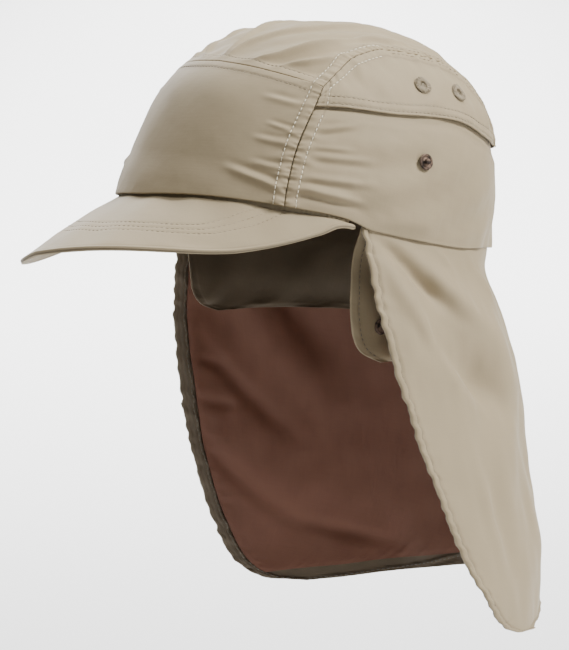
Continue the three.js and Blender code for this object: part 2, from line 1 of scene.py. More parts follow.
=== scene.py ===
"""A legionnaire cap: its cloth, stitching, fittings and studio, dressed over the fixed frame of solids.

Lengths are metres. The cap faces -Y, the wearer's left is +X, and the origin is the middle of the head
opening at the rim. Angles called around are degrees from the front, and grow towards the wearer's left.
"""

import logging
import math
from dataclasses import dataclass, field
from enum import Enum
from functools import partial
from typing import Callable, ClassVar, Iterable, Optional, Sequence

import bpy
import numpy as np
from mathutils import Matrix, Vector


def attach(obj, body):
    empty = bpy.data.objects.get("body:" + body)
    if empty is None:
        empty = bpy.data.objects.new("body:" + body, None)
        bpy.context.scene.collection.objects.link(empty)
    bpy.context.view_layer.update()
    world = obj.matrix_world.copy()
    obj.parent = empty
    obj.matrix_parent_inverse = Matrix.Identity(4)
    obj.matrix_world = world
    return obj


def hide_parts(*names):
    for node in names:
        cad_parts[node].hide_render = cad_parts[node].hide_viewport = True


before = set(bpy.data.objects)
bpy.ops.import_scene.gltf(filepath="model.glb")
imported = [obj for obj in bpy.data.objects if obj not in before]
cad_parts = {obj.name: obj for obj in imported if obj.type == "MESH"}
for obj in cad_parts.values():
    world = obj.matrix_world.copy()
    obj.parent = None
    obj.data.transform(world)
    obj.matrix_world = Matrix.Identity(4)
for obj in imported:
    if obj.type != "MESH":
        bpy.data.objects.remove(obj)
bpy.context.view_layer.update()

MM = 0.001
Grid = np.ndarray
Colour = tuple[float, float, float]
log = logging.getLogger("cap")


@dataclass(frozen=True)
class Table:
    """Rows of numbers under named columns, read as smooth curves along the first column."""

    columns: tuple[str, ...]
    rows: tuple[tuple[float, ...], ...]

    def read(self, column: str, at: Grid) -> Grid:
        """Reads a smooth curve through one column.

        Args:
            column: The name of the column to read.
            at: Places along the first column. Those past its ends are held at the ends.

        Returns:
            The column's value at each place.
        """
        data = np.array(self.rows, float)
        keys = data[:, 0]
        values = data[:, self.columns.index(column)]
        last = len(keys) - 1
        held = np.clip(at, keys[0], keys[last])
        i = np.clip(np.searchsorted(keys, held) - 1, 0, last - 1)
        before = np.maximum(np.arange(last + 1) - 1, 0)
        after = np.minimum(np.arange(last + 1) + 1, last)
        slope = (values[after] - values[before]) / (keys[after] - keys[before])
        step = keys[i + 1] - keys[i]
        s = (held - keys[i]) / step
        start = values[i] * (1 + 2 * s) * (1 - s) ** 2 + slope[i] * step * s * (1 - s) ** 2
        end = values[i + 1] * s * s * (3 - 2 * s) + slope[i + 1] * step * s * s * (s - 1)
        return start + end


# Crown rings by dome latitude in degrees. Length, width, shift and tilt are shares of the cap's sizes.
CROWN_RINGS = Table(
    ("latitude", "length", "width", "shift", "tilt", "squareness"),
    (
        (0, 0.99, 1.0, -0.1, 1.0, 2.12),
        (7, 0.965, 1.03, 0.08, 0.96, 2.15),
        (15, 0.958, 1.06, 0.38, 0.9, 2.18),
        (28, 0.98, 1.11, 0.72, 0.8, 2.22),
        (43, 1.03, 1.2, 0.95, 0.6, 2.26),
        (58, 1.06, 1.3, 1.02, 0.4, 2.2),
        (73, 1.14, 1.42, 0.85, 0.2, 2.08),
        (90, 1.19, 1.48, 0.75, 0.0, 2.0),
    ),
)

# How far the rim line stands over its tilted plane, as a share of the rim's rise.
RIM_LINE = Table(
    ("around", "rise"),
    (
        (0, 0.45), (22, 0.55), (50, 0.5), (68, 0.5), (78, 0.1),
        (98, -0.18), (118, -0.28), (138, 0.0), (180, 0.1),
    ),
)

# The front seam, from the rim up to the top panel's front corner.
FRONT_SEAM = Table(
    ("along", "around"),
    ((0, 48.1), (0.3, 47.5), (0.5, 48.3), (0.8, 51.1), (1, 53)),
)

# The seam between the front panel and the top panel.
FRONT_TOP_SEAM = Table(
    ("around", "latitude"),
    ((0, 50.2), (21, 48.9), (40, 45.8), (53, 42.2), (60, 39.5)),
)

# The seam between the top panel and a side panel, from the front corner to the back hem.
SIDE_TOP_SEAM = Table(
    ("along", "around", "latitude"),
    (
        (0, 53, 42.2), (0.1, 58, 49), (0.22, 66, 56.6), (0.34, 82, 61.5), (0.46, 98, 60.4),
        (0.6, 115, 57.4), (0.72, 127, 52.6), (0.84, 134, 44), (0.93, 139, 36), (1, 142, 28.3),
    ),
)

# The upper hem that lies over the pocket band.
BAND_HEM = Table(
    ("around", "latitude"),
    (
        (44, 34.4), (60, 35.4), (80, 34.8), (100, 35.2),
        (114, 34), (127, 30.9), (144, 27.9), (180, 26.5),
    ),
)

# The peak's outer edge, from its middle to its end. Drop is a share of the edge's drop.
PEAK_EDGE = Table(
    ("along", "drop"),
    (
        (0, 0.48), (0.25, 0.67), (0.5, 0.79), (0.65, 0.7),
        (0.76, 0.31), (0.86, -0.19), (0.94, -0.65), (1, -0.9),
    ),
)

# A stitch row on the peak, as shares of how far to the side and how far out it goes.
PEAK_ROW = Table(
    ("across", "out"),
    ((0, 1), (0.4, 0.97), (0.65, 1.0), (0.78, 0.93), (0.88, 0.66), (0.94, 0.34), (1, 0)),
)

# Neck flap sections from the rim down, as shares of half the head's width and length.
FLAP_SECTIONS = Table(
    ("down", "side", "back", "edge"),
    (
        (0, 0.985, 0.95, 75), (0.06, 1.03, 0.925, 76), (0.14, 1.09, 0.985, 77.5),
        (0.28, 1.185, 1.06, 80.8), (0.43, 1.25, 1.105, 85.4), (0.57, 1.305, 1.14, 90),
        (0.71, 1.353, 1.17, 95.6), (0.84, 1.4, 1.185, 102), (0.93, 1.43, 1.185, 108),
        (0.98, 1.445, 1.18, 116), (1, 1.45, 1.175, 126),
    ),
)

# Inner flap sections from the rim down.
INNER_SECTIONS = Table(
    ("down", "draw", "edge"),
    (
        (0, 0, 75.6), (0.1, 0.3, 74.6), (0.2, 0.6, 73.5), (0.45, 1.0, 72.3), (0.65, 1.1, 72.4),
        (0.8, 1.1, 74.0), (0.92, 1.05, 77.8), (1, 1.0, 86.5),
    ),
)

# Creases of the top panel in plan. Back is a share of half the head's length, and each other column
# is a crease's place to the side, as a share of half the head's width.
TOP_CREASES = Table(
    ("back", "inner", "middle", "outer", "height"),
    (
        (-0.56, 0.02, 0.16, 0.42, 0.0),
        (-0.42, 0.03, 0.34, 0.48, 0.7),
        (-0.32, 0.08, 0.415, 0.57, 1.0),
        (-0.2, 0.155, 0.465, 0.62, 1.0),
        (-0.06, 0.225, 0.495, 0.64, 0.9),
        (0.08, 0.27, 0.49, 0.65, 0.7),
        (0.22, 0.27, 0.53, 0.68, 0.45),
        (0.5, 0.22, 0.47, 0.62, 0.2),
        (0.85, 0.18, 0.36, 0.5, 0.0),
    ),
)

# The eyelets by angle from the front and latitude, the same on both sides.
EYELETS = (("front", 96.3, 46.2), ("back", 116.2, 44.3))


class Edge(Enum):
    """The four edges of a sheet, seen from outside with its rows rising."""

    LEFT = "left"
    RIGHT = "right"
    LOW = "low"
    HIGH = "high"


# The edges that a peak or a flap leaves free.
LOOSE_EDGES = (Edge.LEFT, Edge.RIGHT, Edge.HIGH)


def smooth_step(x: Grid, low: float, high: float) -> Grid:
    """A smooth rise from 0 at low to 1 at high."""
    share = np.clip((x - low) / (high - low), 0, 1)
    return share * share * (3 - 2 * share)


def blend(a: Grid, b: Grid, share: Grid) -> Grid:
    """The point or value at a share of the way from a to b."""
    return a + (b - a) * share


def unit(vectors: Grid) -> Grid:
    """Vectors of length 1 along the last axis."""
    return vectors / np.maximum(np.linalg.norm(vectors, axis=-1, keepdims=True), 1e-12)


def vectors(x: Grid, y: Grid, z: Grid) -> Grid:
    """Points or ways from their three measures."""
    return np.stack(np.broadcast_arrays(x, y, z), axis=-1)


def direction(around: Grid, latitude: Grid) -> Grid:
    """Directions from the dome's middle, by degrees from the front and degrees up."""
    turn = np.radians(np.asarray(around, float) - 90)
    up = np.radians(np.asarray(latitude, float))
    return vectors(np.cos(up) * np.cos(turn), np.cos(up) * np.sin(turn), np.sin(up))


def ring_radius(turn: Grid, half_width: Grid, half_length: Grid, power: Grid) -> Grid:
    """The radius of a superellipse in the direction of an angle."""
    across = np.abs(np.cos(turn) / half_width) ** power
    along = np.abs(np.sin(turn) / half_length) ** power
    return (across + along) ** (-1 / power)


def from_front(around: Grid) -> Grid:
    """The angle from the front, without its side."""
    return np.abs(np.where(np.asarray(around) > 180, 360 - around, around))


def rounding(off: Grid, radius: float) -> Grid:
    """How far a rounded edge has dropped at a distance from the edge."""
    left = radius - np.clip(off, 0, radius)
    return radius - np.sqrt(np.maximum(radius * radius - left * left, 0))


def full_turn(count: int) -> Grid:
    """Angles evenly spaced round a full turn."""
    return np.arange(count) * 2 * math.pi / count


def bell(x: Grid, width: Grid | float) -> Grid:
    """A bell curve of height 1, which has dropped to about a third at one width from its middle."""
    return np.exp(-((x / width) ** 2))


@dataclass(frozen=True)
class Spacing:
    """How closely a cloth's rows or columns lie: fine within a border at both ends, coarse between.

    The span is the cloth's length as a share of the size that it goes with.
    """

    fine: float
    coarse: float
    border: float = 12 * MM
    span: float = 1.0

    def length(self, size: float) -> float:
        """The cloth's length."""
        return size * self.span

    def shares(self, size: float) -> Grid:
        """Rising shares of the length from 0 to 1, closest of all where the ends roll over."""
        length = self.length(size)
        rolled = np.array([0, 0.12, 0.35, 0.7]) * MM
        start = np.concatenate([rolled, np.arange(rolled[-1] + self.fine, self.border, self.fine)])
        count = max(int(round((length - 2 * self.border) / self.coarse)), 2)
        middle = np.linspace(self.border, length - self.border, count + 1)
        return np.concatenate([start, middle, length - start[::-1]]) / length


@dataclass(frozen=True)
class Crumple:
    """Smooth seeded waves over a cloth, a sum of plane waves about one wavelength."""

    seed: int
    wavelength: float
    height: float
    spread: float = 0.45
    count: int = 12

    def relief(self, x: Grid, y: Grid) -> Grid:
        """The waves' height at places given in metres of cloth."""
        rng = np.random.default_rng(self.seed)
        heading = rng.uniform(0, 2 * math.pi, self.count)
        lengths = self.wavelength * rng.uniform(1 - self.spread, 1 + self.spread, self.count)
        phases = rng.uniform(0, 2 * math.pi, self.count)
        total = np.zeros(np.broadcast(x, y).shape)
        for angle, length, phase in zip(heading, lengths, phases):
            run = x * math.cos(angle) + y * math.sin(angle)
            total += np.sin(2 * math.pi * run / length + phase)
        return self.height * total / math.sqrt(self.count / 2)

    def over(self, sheet: "Sheet") -> Grid:
        """The waves' height over a sheet."""
        return self.relief(sheet.off(Edge.LEFT), sheet.off(Edge.LOW))


@dataclass(frozen=True)
class Puckers:
    """Short wrinkles that a line of stitches draws into the cloth beside it."""

    seed: int
    height: float = 0.5 * MM
    spacing: float = 3.2 * MM
    width: float = 0.95 * MM
    reach: float = 8 * MM
    slant: float = 0.2
    first: float = 1.0
    last: float = 1.0
    at_seam: float = 0.55
    seam_ease: float = 3 * MM

    def relief(self, along: Grid, off: Grid) -> Grid:
        """The wrinkles' height.

        Args:
            along: Metres along the seam.
            off: Metres from the seam.

        Returns:
            The height at each place.
        """
        rng = np.random.default_rng(self.seed)
        run = float(along.max())
        total = np.zeros(along.shape)
        for k in range(int(run / self.spacing) + 1):
            place = (k + rng.uniform(-0.3, 0.3)) * self.spacing
            lean = self.slant * rng.uniform(-1, 1)
            reach = self.reach * rng.uniform(0.6, 1.4)
            width = self.width * rng.uniform(0.8, 1.3)
            height = self.height * rng.uniform(0.35, 1.0)
            height *= blend(self.first, self.last, min(place / run, 1))
            widening = width * (1 + off / self.reach)
            total += height * bell(along - place - lean * off, widening) * bell(off, reach)
        return total * blend(self.at_seam, 1.0, smooth_step(off, 0, self.seam_ease))


@dataclass
class Sheet:
    """A smooth sheet of points, with the way out of it and the cloth's length from each edge."""

    points: Grid
    out: Grid
    from_edge: dict[Edge, Grid] = field(default_factory=dict)

    def __post_init__(self) -> None:
        """Measures the cloth's length from each edge along the rows and columns."""
        across = np.linalg.norm(np.diff(self.points, axis=1), axis=-1)
        upward = np.linalg.norm(np.diff(self.points, axis=0), axis=-1)
        left = np.concatenate([np.zeros((len(across), 1)), np.cumsum(across, axis=1)], axis=1)
        low = np.concatenate([np.zeros((1, upward.shape[1])), np.cumsum(upward, axis=0)], axis=0)
        self.from_edge = {
            Edge.LEFT: left,
            Edge.RIGHT: left[:, -1:] - left,
            Edge.LOW: low,
            Edge.HIGH: low[-1:] - low,
        }

    def off(self, edge: Edge) -> Grid:
        """The cloth's length from an edge."""
        return self.from_edge[edge]

    def along(self, edge: Edge) -> Grid:
        """The cloth's length along an edge, from its lower or left end."""
        return self.from_edge[Edge.LOW if edge in (Edge.LEFT, Edge.RIGHT) else Edge.LEFT]

    def near(self, edges: Iterable[Edge] = Edge) -> Grid:
        """The cloth's length from the nearest of some edges."""
        return np.minimum.reduce([self.off(edge) for edge in edges])

    def lengths(self) -> Grid:
        """The cloth's lengths across and up, for the weave."""
        return np.stack([self.off(Edge.LEFT), self.off(Edge.LOW)], axis=-1)


@dataclass(frozen=True)
class SewnEdge:
    """How one edge of a panel is sewn: its stitch rows, the raised strip under them and its puckers."""

    edge: Edge
    rows: tuple[float, ...] = ()
    puckers: tuple[Puckers, ...] = ()
    backward: bool = False
    lift: float = 0.3 * MM
    lift_inside: float = 0.2 * MM
    lift_end: float = 1.6 * MM
    groove: float = 0.45 * MM
    groove_width: float = 0.6 * MM
    pitch: float = 2.7 * MM

    def relief(self, sheet: Sheet) -> Grid:
        """The height that the sewing gives the cloth near this edge."""
        off = sheet.off(self.edge)
        along = sheet.along(self.edge)
        if self.backward:
            along = along.max() - along
        total = np.zeros(off.shape)
        if self.rows:
            far = max(self.rows)
            total += self.lift * (1 - smooth_step(off, far - self.lift_inside, far + self.lift_end))
        needle = 0.65 + 0.5 * np.cos(2 * math.pi * along / self.pitch)
        for row in self.rows:
            total -= self.groove * needle * bell(off - row, self.groove_width)
        return total + sum(puckers.relief(along, off) for puckers in self.puckers)


def painted_row_shadow(off: Grid, row: float, depth: float = 0.2) -> Grid:
    """How much darker the cloth is painted along a row's needle line, as painted shadow in the drawn-in
    groove.
    """
    return -depth * bell(off - row, 0.55 * MM)


class Seam(Enum):
    """The crown's long seams. Each value seeds the wrinkles that the panels on both sides share."""

    FRONT_RIGHT = 11
    FRONT_LEFT = 15
    SIDE_RIGHT = 31
    SIDE_LEFT = 37


def seam_puckers(seed: int, height: float, first: float, last: float) -> tuple[Puckers, ...]:
    """The close wrinkles of a seam, with a few long ones among them."""
    close = Puckers(seed, height * 1.25, 2.9 * MM, 0.9 * MM, 6.5 * MM, 0.2, first, last, 0.95)
    long = Puckers(seed + 1, height * 0.65, 9 * MM, 1.8 * MM, 14 * MM, 0.5, first, last, 0.1)
    return close, long


@dataclass
class ClothMesh:
    """Gathers the points and faces of one cloth piece, and makes its mesh object."""

    name: str
    points: list[Grid] = field(default_factory=list)
    faces: list[Grid] = field(default_factory=list)
    cloth: list[Grid] = field(default_factory=list)
    tone: list[Grid] = field(default_factory=list)
    count: int = 0

    def add_between(
        self, sheet: Sheet, top: Grid, floor: Grid, tone: Grid | float = 0.0, flip: bool = True
    ) -> tuple[Grid, Grid]:
        """Adds a closed wall between two heights over a sheet.

        Args:
            sheet: The smooth sheet.
            top: The outer face's height over the sheet.
            floor: The inner face's height, below 0 where it lies inside.
            tone: How much lighter than the cloth each point is painted; it carries painted shade and painted
                highlights.
            flip: True where the sheet's rows run down.

        Returns:
            The outer and the inner face's points.
        """
        outer = sheet.points + sheet.out * top[..., None]
        inner = sheet.points + sheet.out * floor[..., None]
        self.add_wall(outer, inner, sheet.lengths(), np.asarray(tone, float), flip)
        return outer, inner

    def add_wall(self, outer: Grid, inner: Grid, lengths: Grid, tone: Grid, flip: bool = False) -> None:
        """Adds a closed wall between two grids of points.

        Args:
            outer: The outer face's points, rows by columns.
            inner: The inner face's points.
            lengths: The cloth's lengths across and up, for the weave.
            tone: How much lighter than the cloth each point is painted; it carries painted shade and painted
                highlights.
            flip: True where the rows run down, so that the faces still point out.
        """
        tall, wide = outer.shape[:2]
        one_face = tall * wide
        index = self.count + np.arange(2 * one_face).reshape(2, tall, wide)
        top, under = index
        quads = [
            self._quads(top[:-1, :-1], top[:-1, 1:], top[1:, 1:], top[1:, :-1]),
            self._quads(under[:-1, :-1], under[1:, :-1], under[1:, 1:], under[:-1, 1:]),
            self._quads(top[0, :-1], under[0, :-1], under[0, 1:], top[0, 1:]),
            self._quads(top[-1, :-1], top[-1, 1:], under[-1, 1:], under[-1, :-1]),
            self._quads(top[:-1, 0], top[1:, 0], under[1:, 0], under[:-1, 0]),
            self._quads(top[:-1, -1], under[:-1, -1], under[1:, -1], top[1:, -1]),
        ]
        faces = np.concatenate(quads)
        self.faces.append(faces[:, ::-1] if flip else faces)
        for layer, grid in enumerate((outer, inner)):
            self.points.append(grid.reshape(-1, 3))
            flat = lengths.reshape(-1, 2)
            self.cloth.append(np.column_stack([flat, np.full(len(flat), float(layer))]))
            self.tone.append(np.broadcast_to(tone, (tall, wide)).reshape(-1))
        self.count += 2 * one_face

    @staticmethod
    def _quads(a: Grid, b: Grid, c: Grid, d: Grid) -> Grid:
        """Four-sided faces from four grids of corner numbers."""
        return np.stack([a.ravel(), b.ravel(), c.ravel(), d.ravel()], axis=1)

    def build(self) -> bpy.types.Object:
        """Makes the mesh object, with its cloth lengths and tone kept as attributes."""
        piece = new_piece(self.name, np.concatenate(self.points), np.concatenate(self.faces).tolist())
        cloth = piece.data.attributes.new("cloth", "FLOAT_VECTOR", "POINT")
        cloth.data.foreach_set("vector", np.concatenate(self.cloth).astype(np.float32).ravel())
        tone = piece.data.attributes.new("tone", "FLOAT", "POINT")
        tone.data.foreach_set("value", np.concatenate(self.tone).astype(np.float32))
        return piece


def new_piece(name: str, points: Grid, faces: Sequence[Sequence[int]]) -> bpy.types.Object:
    """Makes a smooth-shaded mesh object from points and faces."""
    mesh = bpy.data.meshes.new(name)
    mesh.from_pydata(points.tolist(), [], faces)
    mesh.validate()
    mesh.shade_smooth()
    piece = bpy.data.objects.new(name, mesh)
    bpy.context.scene.collection.objects.link(piece)
    return piece


def add_panel(
    mesh: ClothMesh, sheet: Sheet, relief: Grid, wall: float, edge_radius: float,
    tone: Grid | float = 0.0, flip: bool = False,
) -> Grid:
    """Adds a relief-worked panel with rolled edges to a mesh.

    Args:
        mesh: The mesh that the panel joins.
        sheet: The smooth sheet under the relief.
        relief: The height over the sheet.
        wall: The cloth's thickness, inwards.
        edge_radius: How round the outer face's edges are.
        tone: How much lighter the cloth is.
        flip: True where the rows run down.

    Returns:
        The outer face's points.
    """
    follows, inner_radius, inner_share, thinnest = 0.85, 0.5 * MM, 0.35, 0.3 * MM
    near = sheet.near()
    top = relief - rounding(near, edge_radius)
    rolled = np.minimum(rounding(near, inner_radius), wall * inner_share)
    floor = np.minimum(relief * follows - wall + rolled, top - thinnest)
    return mesh.add_between(sheet, top, floor, tone, flip)[0]


class Hold(Enum):
    """How a cut sheet of cloth is held."""

    HUNG = "hung"
    STRETCHED = "stretched"


@dataclass(frozen=True)
class Cut:
    """A sheet of cloth as it was cut: its flat size, the share of it that is filled, and how it is held."""

    piece: str
    width: float
    length: float
    filled: float
    hold: Hold
    rests_on: tuple[str, ...]
    carries: tuple[str, ...]

    def declare(self) -> None:
        """Turns the pieces that the sheet rests on and carries into lists, and does nothing else with them.
        """
        list(self.rests_on)
        list(self.carries)


# The cap's cloth as it was cut, with its seam allowances and hems.
CUTS = (
    Cut("front_panel_cloth", 165 * MM, 98 * MM, 0.9, Hold.STRETCHED, ("peak",), ("crown_seam_stitches",)),
    Cut(
        "top_panel_cloth", 130 * MM, 250 * MM, 0.8, Hold.STRETCHED,
        ("front_panel",), ("crown_tonal_stitches",),
    ),
    *(
        Cut(
            f"side_panel_{side}_cloth", 125 * MM, 50 * MM, 0.68, Hold.STRETCHED,
            ("pocket_band", "top_panel"), (f"eyelet_{side}_front_thread", f"eyelet_{side}_back_thread"),
        )
        for side in ("left", "right")
    ),
    Cut(
        "pocket_band_cloth", 430 * MM, 70 * MM, 0.9, Hold.STRETCHED,
        ("front_panel",), ("snap_stud_left_metal", "snap_stud_right_metal"),
    ),
    Cut(
        "neck_flap_cloth", 400 * MM, 232 * MM, 0.83, Hold.HUNG,
        ("pocket_band",), ("flap_hem_stitches", "flap_inner_hem_stitches"),
    ),
    Cut("neck_flap_lining_cloth", 375 * MM, 222 * MM, 0.82, Hold.HUNG, ("pocket_band",), ()),
    Cut(
        "inner_flap_cloth", 310 * MM, 66 * MM, 0.9, Hold.HUNG,
        ("pocket_band",), ("inner_flap_stitches", "snap_socket_left_metal", "snap_socket_right_metal"),
    ),
)


@dataclass(frozen=True)
class StitchLine:
    """A line over the cloth for stitches to follow, with the way out of the cloth at each point."""

    points: Grid
    out: Grid

    @staticmethod
    def beside(sheet: Sheet, surface: Grid, edge: Edge, distance: Grid | float) -> "StitchLine":
        """A line at a distance from one edge of a sheet.

        Args:
            sheet: The sheet that carries the stitches.
            surface: The sheet's outer points, with their relief.
            edge: The edge that the line follows.
            distance: Metres from the edge, one number or one for each step along it.

        Returns:
            The line, from the edge's lower or left end.
        """
        off, out = sheet.off(edge), sheet.out
        if edge in (Edge.LOW, Edge.HIGH):
            off, surface, out = off.T, surface.transpose(1, 0, 2), out.transpose(1, 0, 2)
        if edge in (Edge.RIGHT, Edge.HIGH):
            off, surface, out = off[:, ::-1], surface[:, ::-1], out[:, ::-1]
        wanted = np.broadcast_to(distance, (len(off),))

        def crossed(grid: Grid) -> Grid:
            """The grid's value where the line crosses each row of it."""
            rows = zip(wanted, off, grid)
            return np.array([[np.interp(at, run, row[:, k]) for k in range(3)] for at, run, row in rows])

        return StitchLine(crossed(surface), unit(crossed(out)))

    def between(self, start: float, stop: float) -> "StitchLine":
        """The part of the line between two shares of its length."""
        run = self.run()
        return self.where((run >= start * run[-1]) & (run <= stop * run[-1]))

    def where(self, kept: Grid) -> "StitchLine":
        """The points of the line that are kept."""
        return StitchLine(self.points[kept], self.out[kept])

    def run(self) -> Grid:
        """The length along the line at each point."""
        steps = np.linalg.norm(np.diff(self.points, axis=0), axis=-1)
        return np.concatenate([[0], np.cumsum(steps)])


@dataclass(frozen=True)
class Thread:
    """A sewing thread: its thickness, and the length and pitch of its stitches."""

    thickness: float = 0.6 * MM
    stitch: float = 2.0 * MM
    pitch: float = 2.7 * MM
    sink: float = 0.1 * MM
    sides: int = 6
    first: float = 0.5
    spare: float = 0.3

    def frames(self, line: StitchLine) -> tuple[Grid, Grid, Grid]:
        """The middle, run and way out of each stitch on a line."""
        run = line.run()
        places = np.arange(self.first * self.pitch, run[-1] - self.spare * self.pitch, self.pitch)

        def pick(grid: Grid, at: Grid) -> Grid:
            """The grid's value at lengths along the line."""
            return np.stack([np.interp(at, run, grid[:, k]) for k in range(3)], axis=-1)

        ahead = pick(line.points, places + self.stitch / 2)
        behind = pick(line.points, places - self.stitch / 2)
        forward, middle = unit(ahead - behind), (ahead + behind) / 2
        out = pick(line.out, places)
        out = unit(out - forward * np.sum(out * forward, axis=-1, keepdims=True))
        return middle, forward, out

    def shell(self, middle: Grid, forward: Grid, out: Grid, half: Grid | float) -> tuple[Grid, Grid]:
        """Points and faces of rounded stitches that dive into the cloth at both ends.

        Args:
            middle: Where each stitch's middle is.
            forward: The way that each stitch runs.
            out: The way out of the cloth.
            half: Half the stitches' length.

        Returns:
            The points and the faces.
        """
        aside = np.cross(forward, out)
        stations = np.array([-1.0, -0.8, -0.35, 0.35, 0.8, 1.0])
        girth = np.array([0.25, 0.8, 1.0, 1.0, 0.8, 0.25]) * self.thickness / 2
        rise = (1 - stations**2) * self.thickness * 0.35 - self.sink
        turn = full_turn(self.sides)[None, :, None]
        half = np.broadcast_to(half, (len(middle),))
        centre = middle[:, None] + forward[:, None] * (half[:, None] * stations)[..., None]
        centre = centre + out[:, None] * rise[None, :, None]
        ring = aside[:, None] * np.cos(turn) + out[:, None] * np.sin(turn)
        points = centre[:, :, None] + ring[:, None] * girth[None, :, None, None]
        count, rings, sides = points.shape[:3]
        index = np.arange(count * rings * sides).reshape(count, rings, sides)
        ahead = np.roll(index, -1, axis=2)
        quads = np.stack([index[:, :-1], ahead[:, :-1], ahead[:, 1:], index[:, 1:]], axis=-1).reshape(-1, 4)
        caps = [index[:, 0, ::-1].tolist(), index[:, -1].tolist()]
        return points.reshape(-1, 3), quads.tolist() + caps[0] + caps[1]


class Stitching:
    """Gathers stitches of one thread and makes one piece of them."""

    def __init__(self, name: str, thread: Thread) -> None:
        """Starts an empty piece of stitching."""
        self.name = name
        self.thread = thread
        self.points: list[Grid] = []
        self.faces: list[list[int]] = []
        self.count = 0

    def sew(self, line: StitchLine) -> None:
        """Sews one row of stitches along a line."""
        self.add(*self.thread.shell(*self.thread.frames(line), self.thread.stitch / 2))

    def sew_beside(
        self, sheet: Sheet, surface: Grid, edge: Edge, off: Grid | float, ends: tuple[float, float] = (0, 1)
    ) -> None:
        """Sews one row at a distance from an edge, between two shares of the row's length."""
        self.sew(StitchLine.beside(sheet, surface, edge, off).between(*ends))

    def add(self, points: Grid, faces: Sequence[Sequence[int]]) -> None:
        """Adds points and the faces between them."""
        self.points.append(points)
        self.faces += [[corner + self.count for corner in face] for face in faces]
        self.count += len(points)

    def build(self) -> bpy.types.Object:
        """Makes the mesh object."""
        return new_piece(self.name, np.concatenate(self.points), self.faces)


class NodeBoard:
    """Short ways to place and join the nodes of one material."""

    def __init__(self, name: str) -> None:
        """Starts a material with only its shader and output."""
        self.material = bpy.data.materials.new(name)
        self.material.use_nodes = True
        self.tree = self.material.node_tree
        self.shader = self.tree.nodes["Principled BSDF"]

    def add(self, kind: str, inputs: Optional[dict] = None, **settings: object) -> bpy.types.Node:
        """Adds a node.

        Args:
            kind: The node's type name.
            inputs: Values, or sockets to join, by input name or number.
            **settings: The node's own settings.

        Returns:
            The node.
        """
        node = self.tree.nodes.new(kind)
        for key, value in settings.items():
            setattr(node, key, value)
        for key, value in (inputs or {}).items():
            if isinstance(value, bpy.types.NodeSocket):
                self.tree.links.new(value, node.inputs[key])
            else:
                node.inputs[key].default_value = value
        return node

    def math(self, operation: str, a: object, b: object = 0.0, c: object = 0.5) -> bpy.types.NodeSocket:
        """The result of a sum on numbers or sockets."""
        return self.add("ShaderNodeMath", {0: a, 1: b, 2: c}, operation=operation).outputs[0]

    def place(self) -> bpy.types.NodeSocket:
        """The place on the object."""
        return self.add("ShaderNodeTexCoord").outputs["Object"]

    def noise(self, place: bpy.types.NodeSocket, scale: float, detail: float) -> bpy.types.NodeSocket:
        """Cloudy noise from 0 to 1."""
        node = self.add("ShaderNodeTexNoise", {"Vector": place, "Scale": scale, "Detail": detail})
        return node.outputs["Fac"]

    def bump(
        self, strength: float, distance: float, height: bpy.types.NodeSocket,
        under: Optional[bpy.types.NodeSocket] = None,
    ) -> bpy.types.NodeSocket:
        """A normal bent by a height, over another normal where there is one."""
        inputs = {"Strength": strength, "Distance": distance, "Height": height}
        if under:
            inputs["Normal"] = under
        return self.add("ShaderNodeBump", inputs).outputs["Normal"]

    def mix(self, share: object, a: object, b: object) -> bpy.types.NodeSocket:
        """A colour between two colours."""
        node = self.add("ShaderNodeMix", {0: share, 6: a, 7: b}, data_type="RGBA")
        return node.outputs[2]

    def set(self, **values: object) -> None:
        """Sets the shader's own sockets, with _ for a space in their names."""
        for key, value in values.items():
            self.shader.inputs[key.replace("_", " ")].default_value = value

    def join(self, socket: bpy.types.NodeSocket, name: str) -> None:
        """Joins a socket to one of the shader's."""
        self.tree.links.new(socket, self.shader.inputs[name])


def rgba(colour: Colour, gain: float = 1.0) -> tuple[float, float, float, float]:
    """A colour with its alpha, made lighter or darker by a gain."""
    return (colour[0] * gain, colour[1] * gain, colour[2] * gain, 1.0)


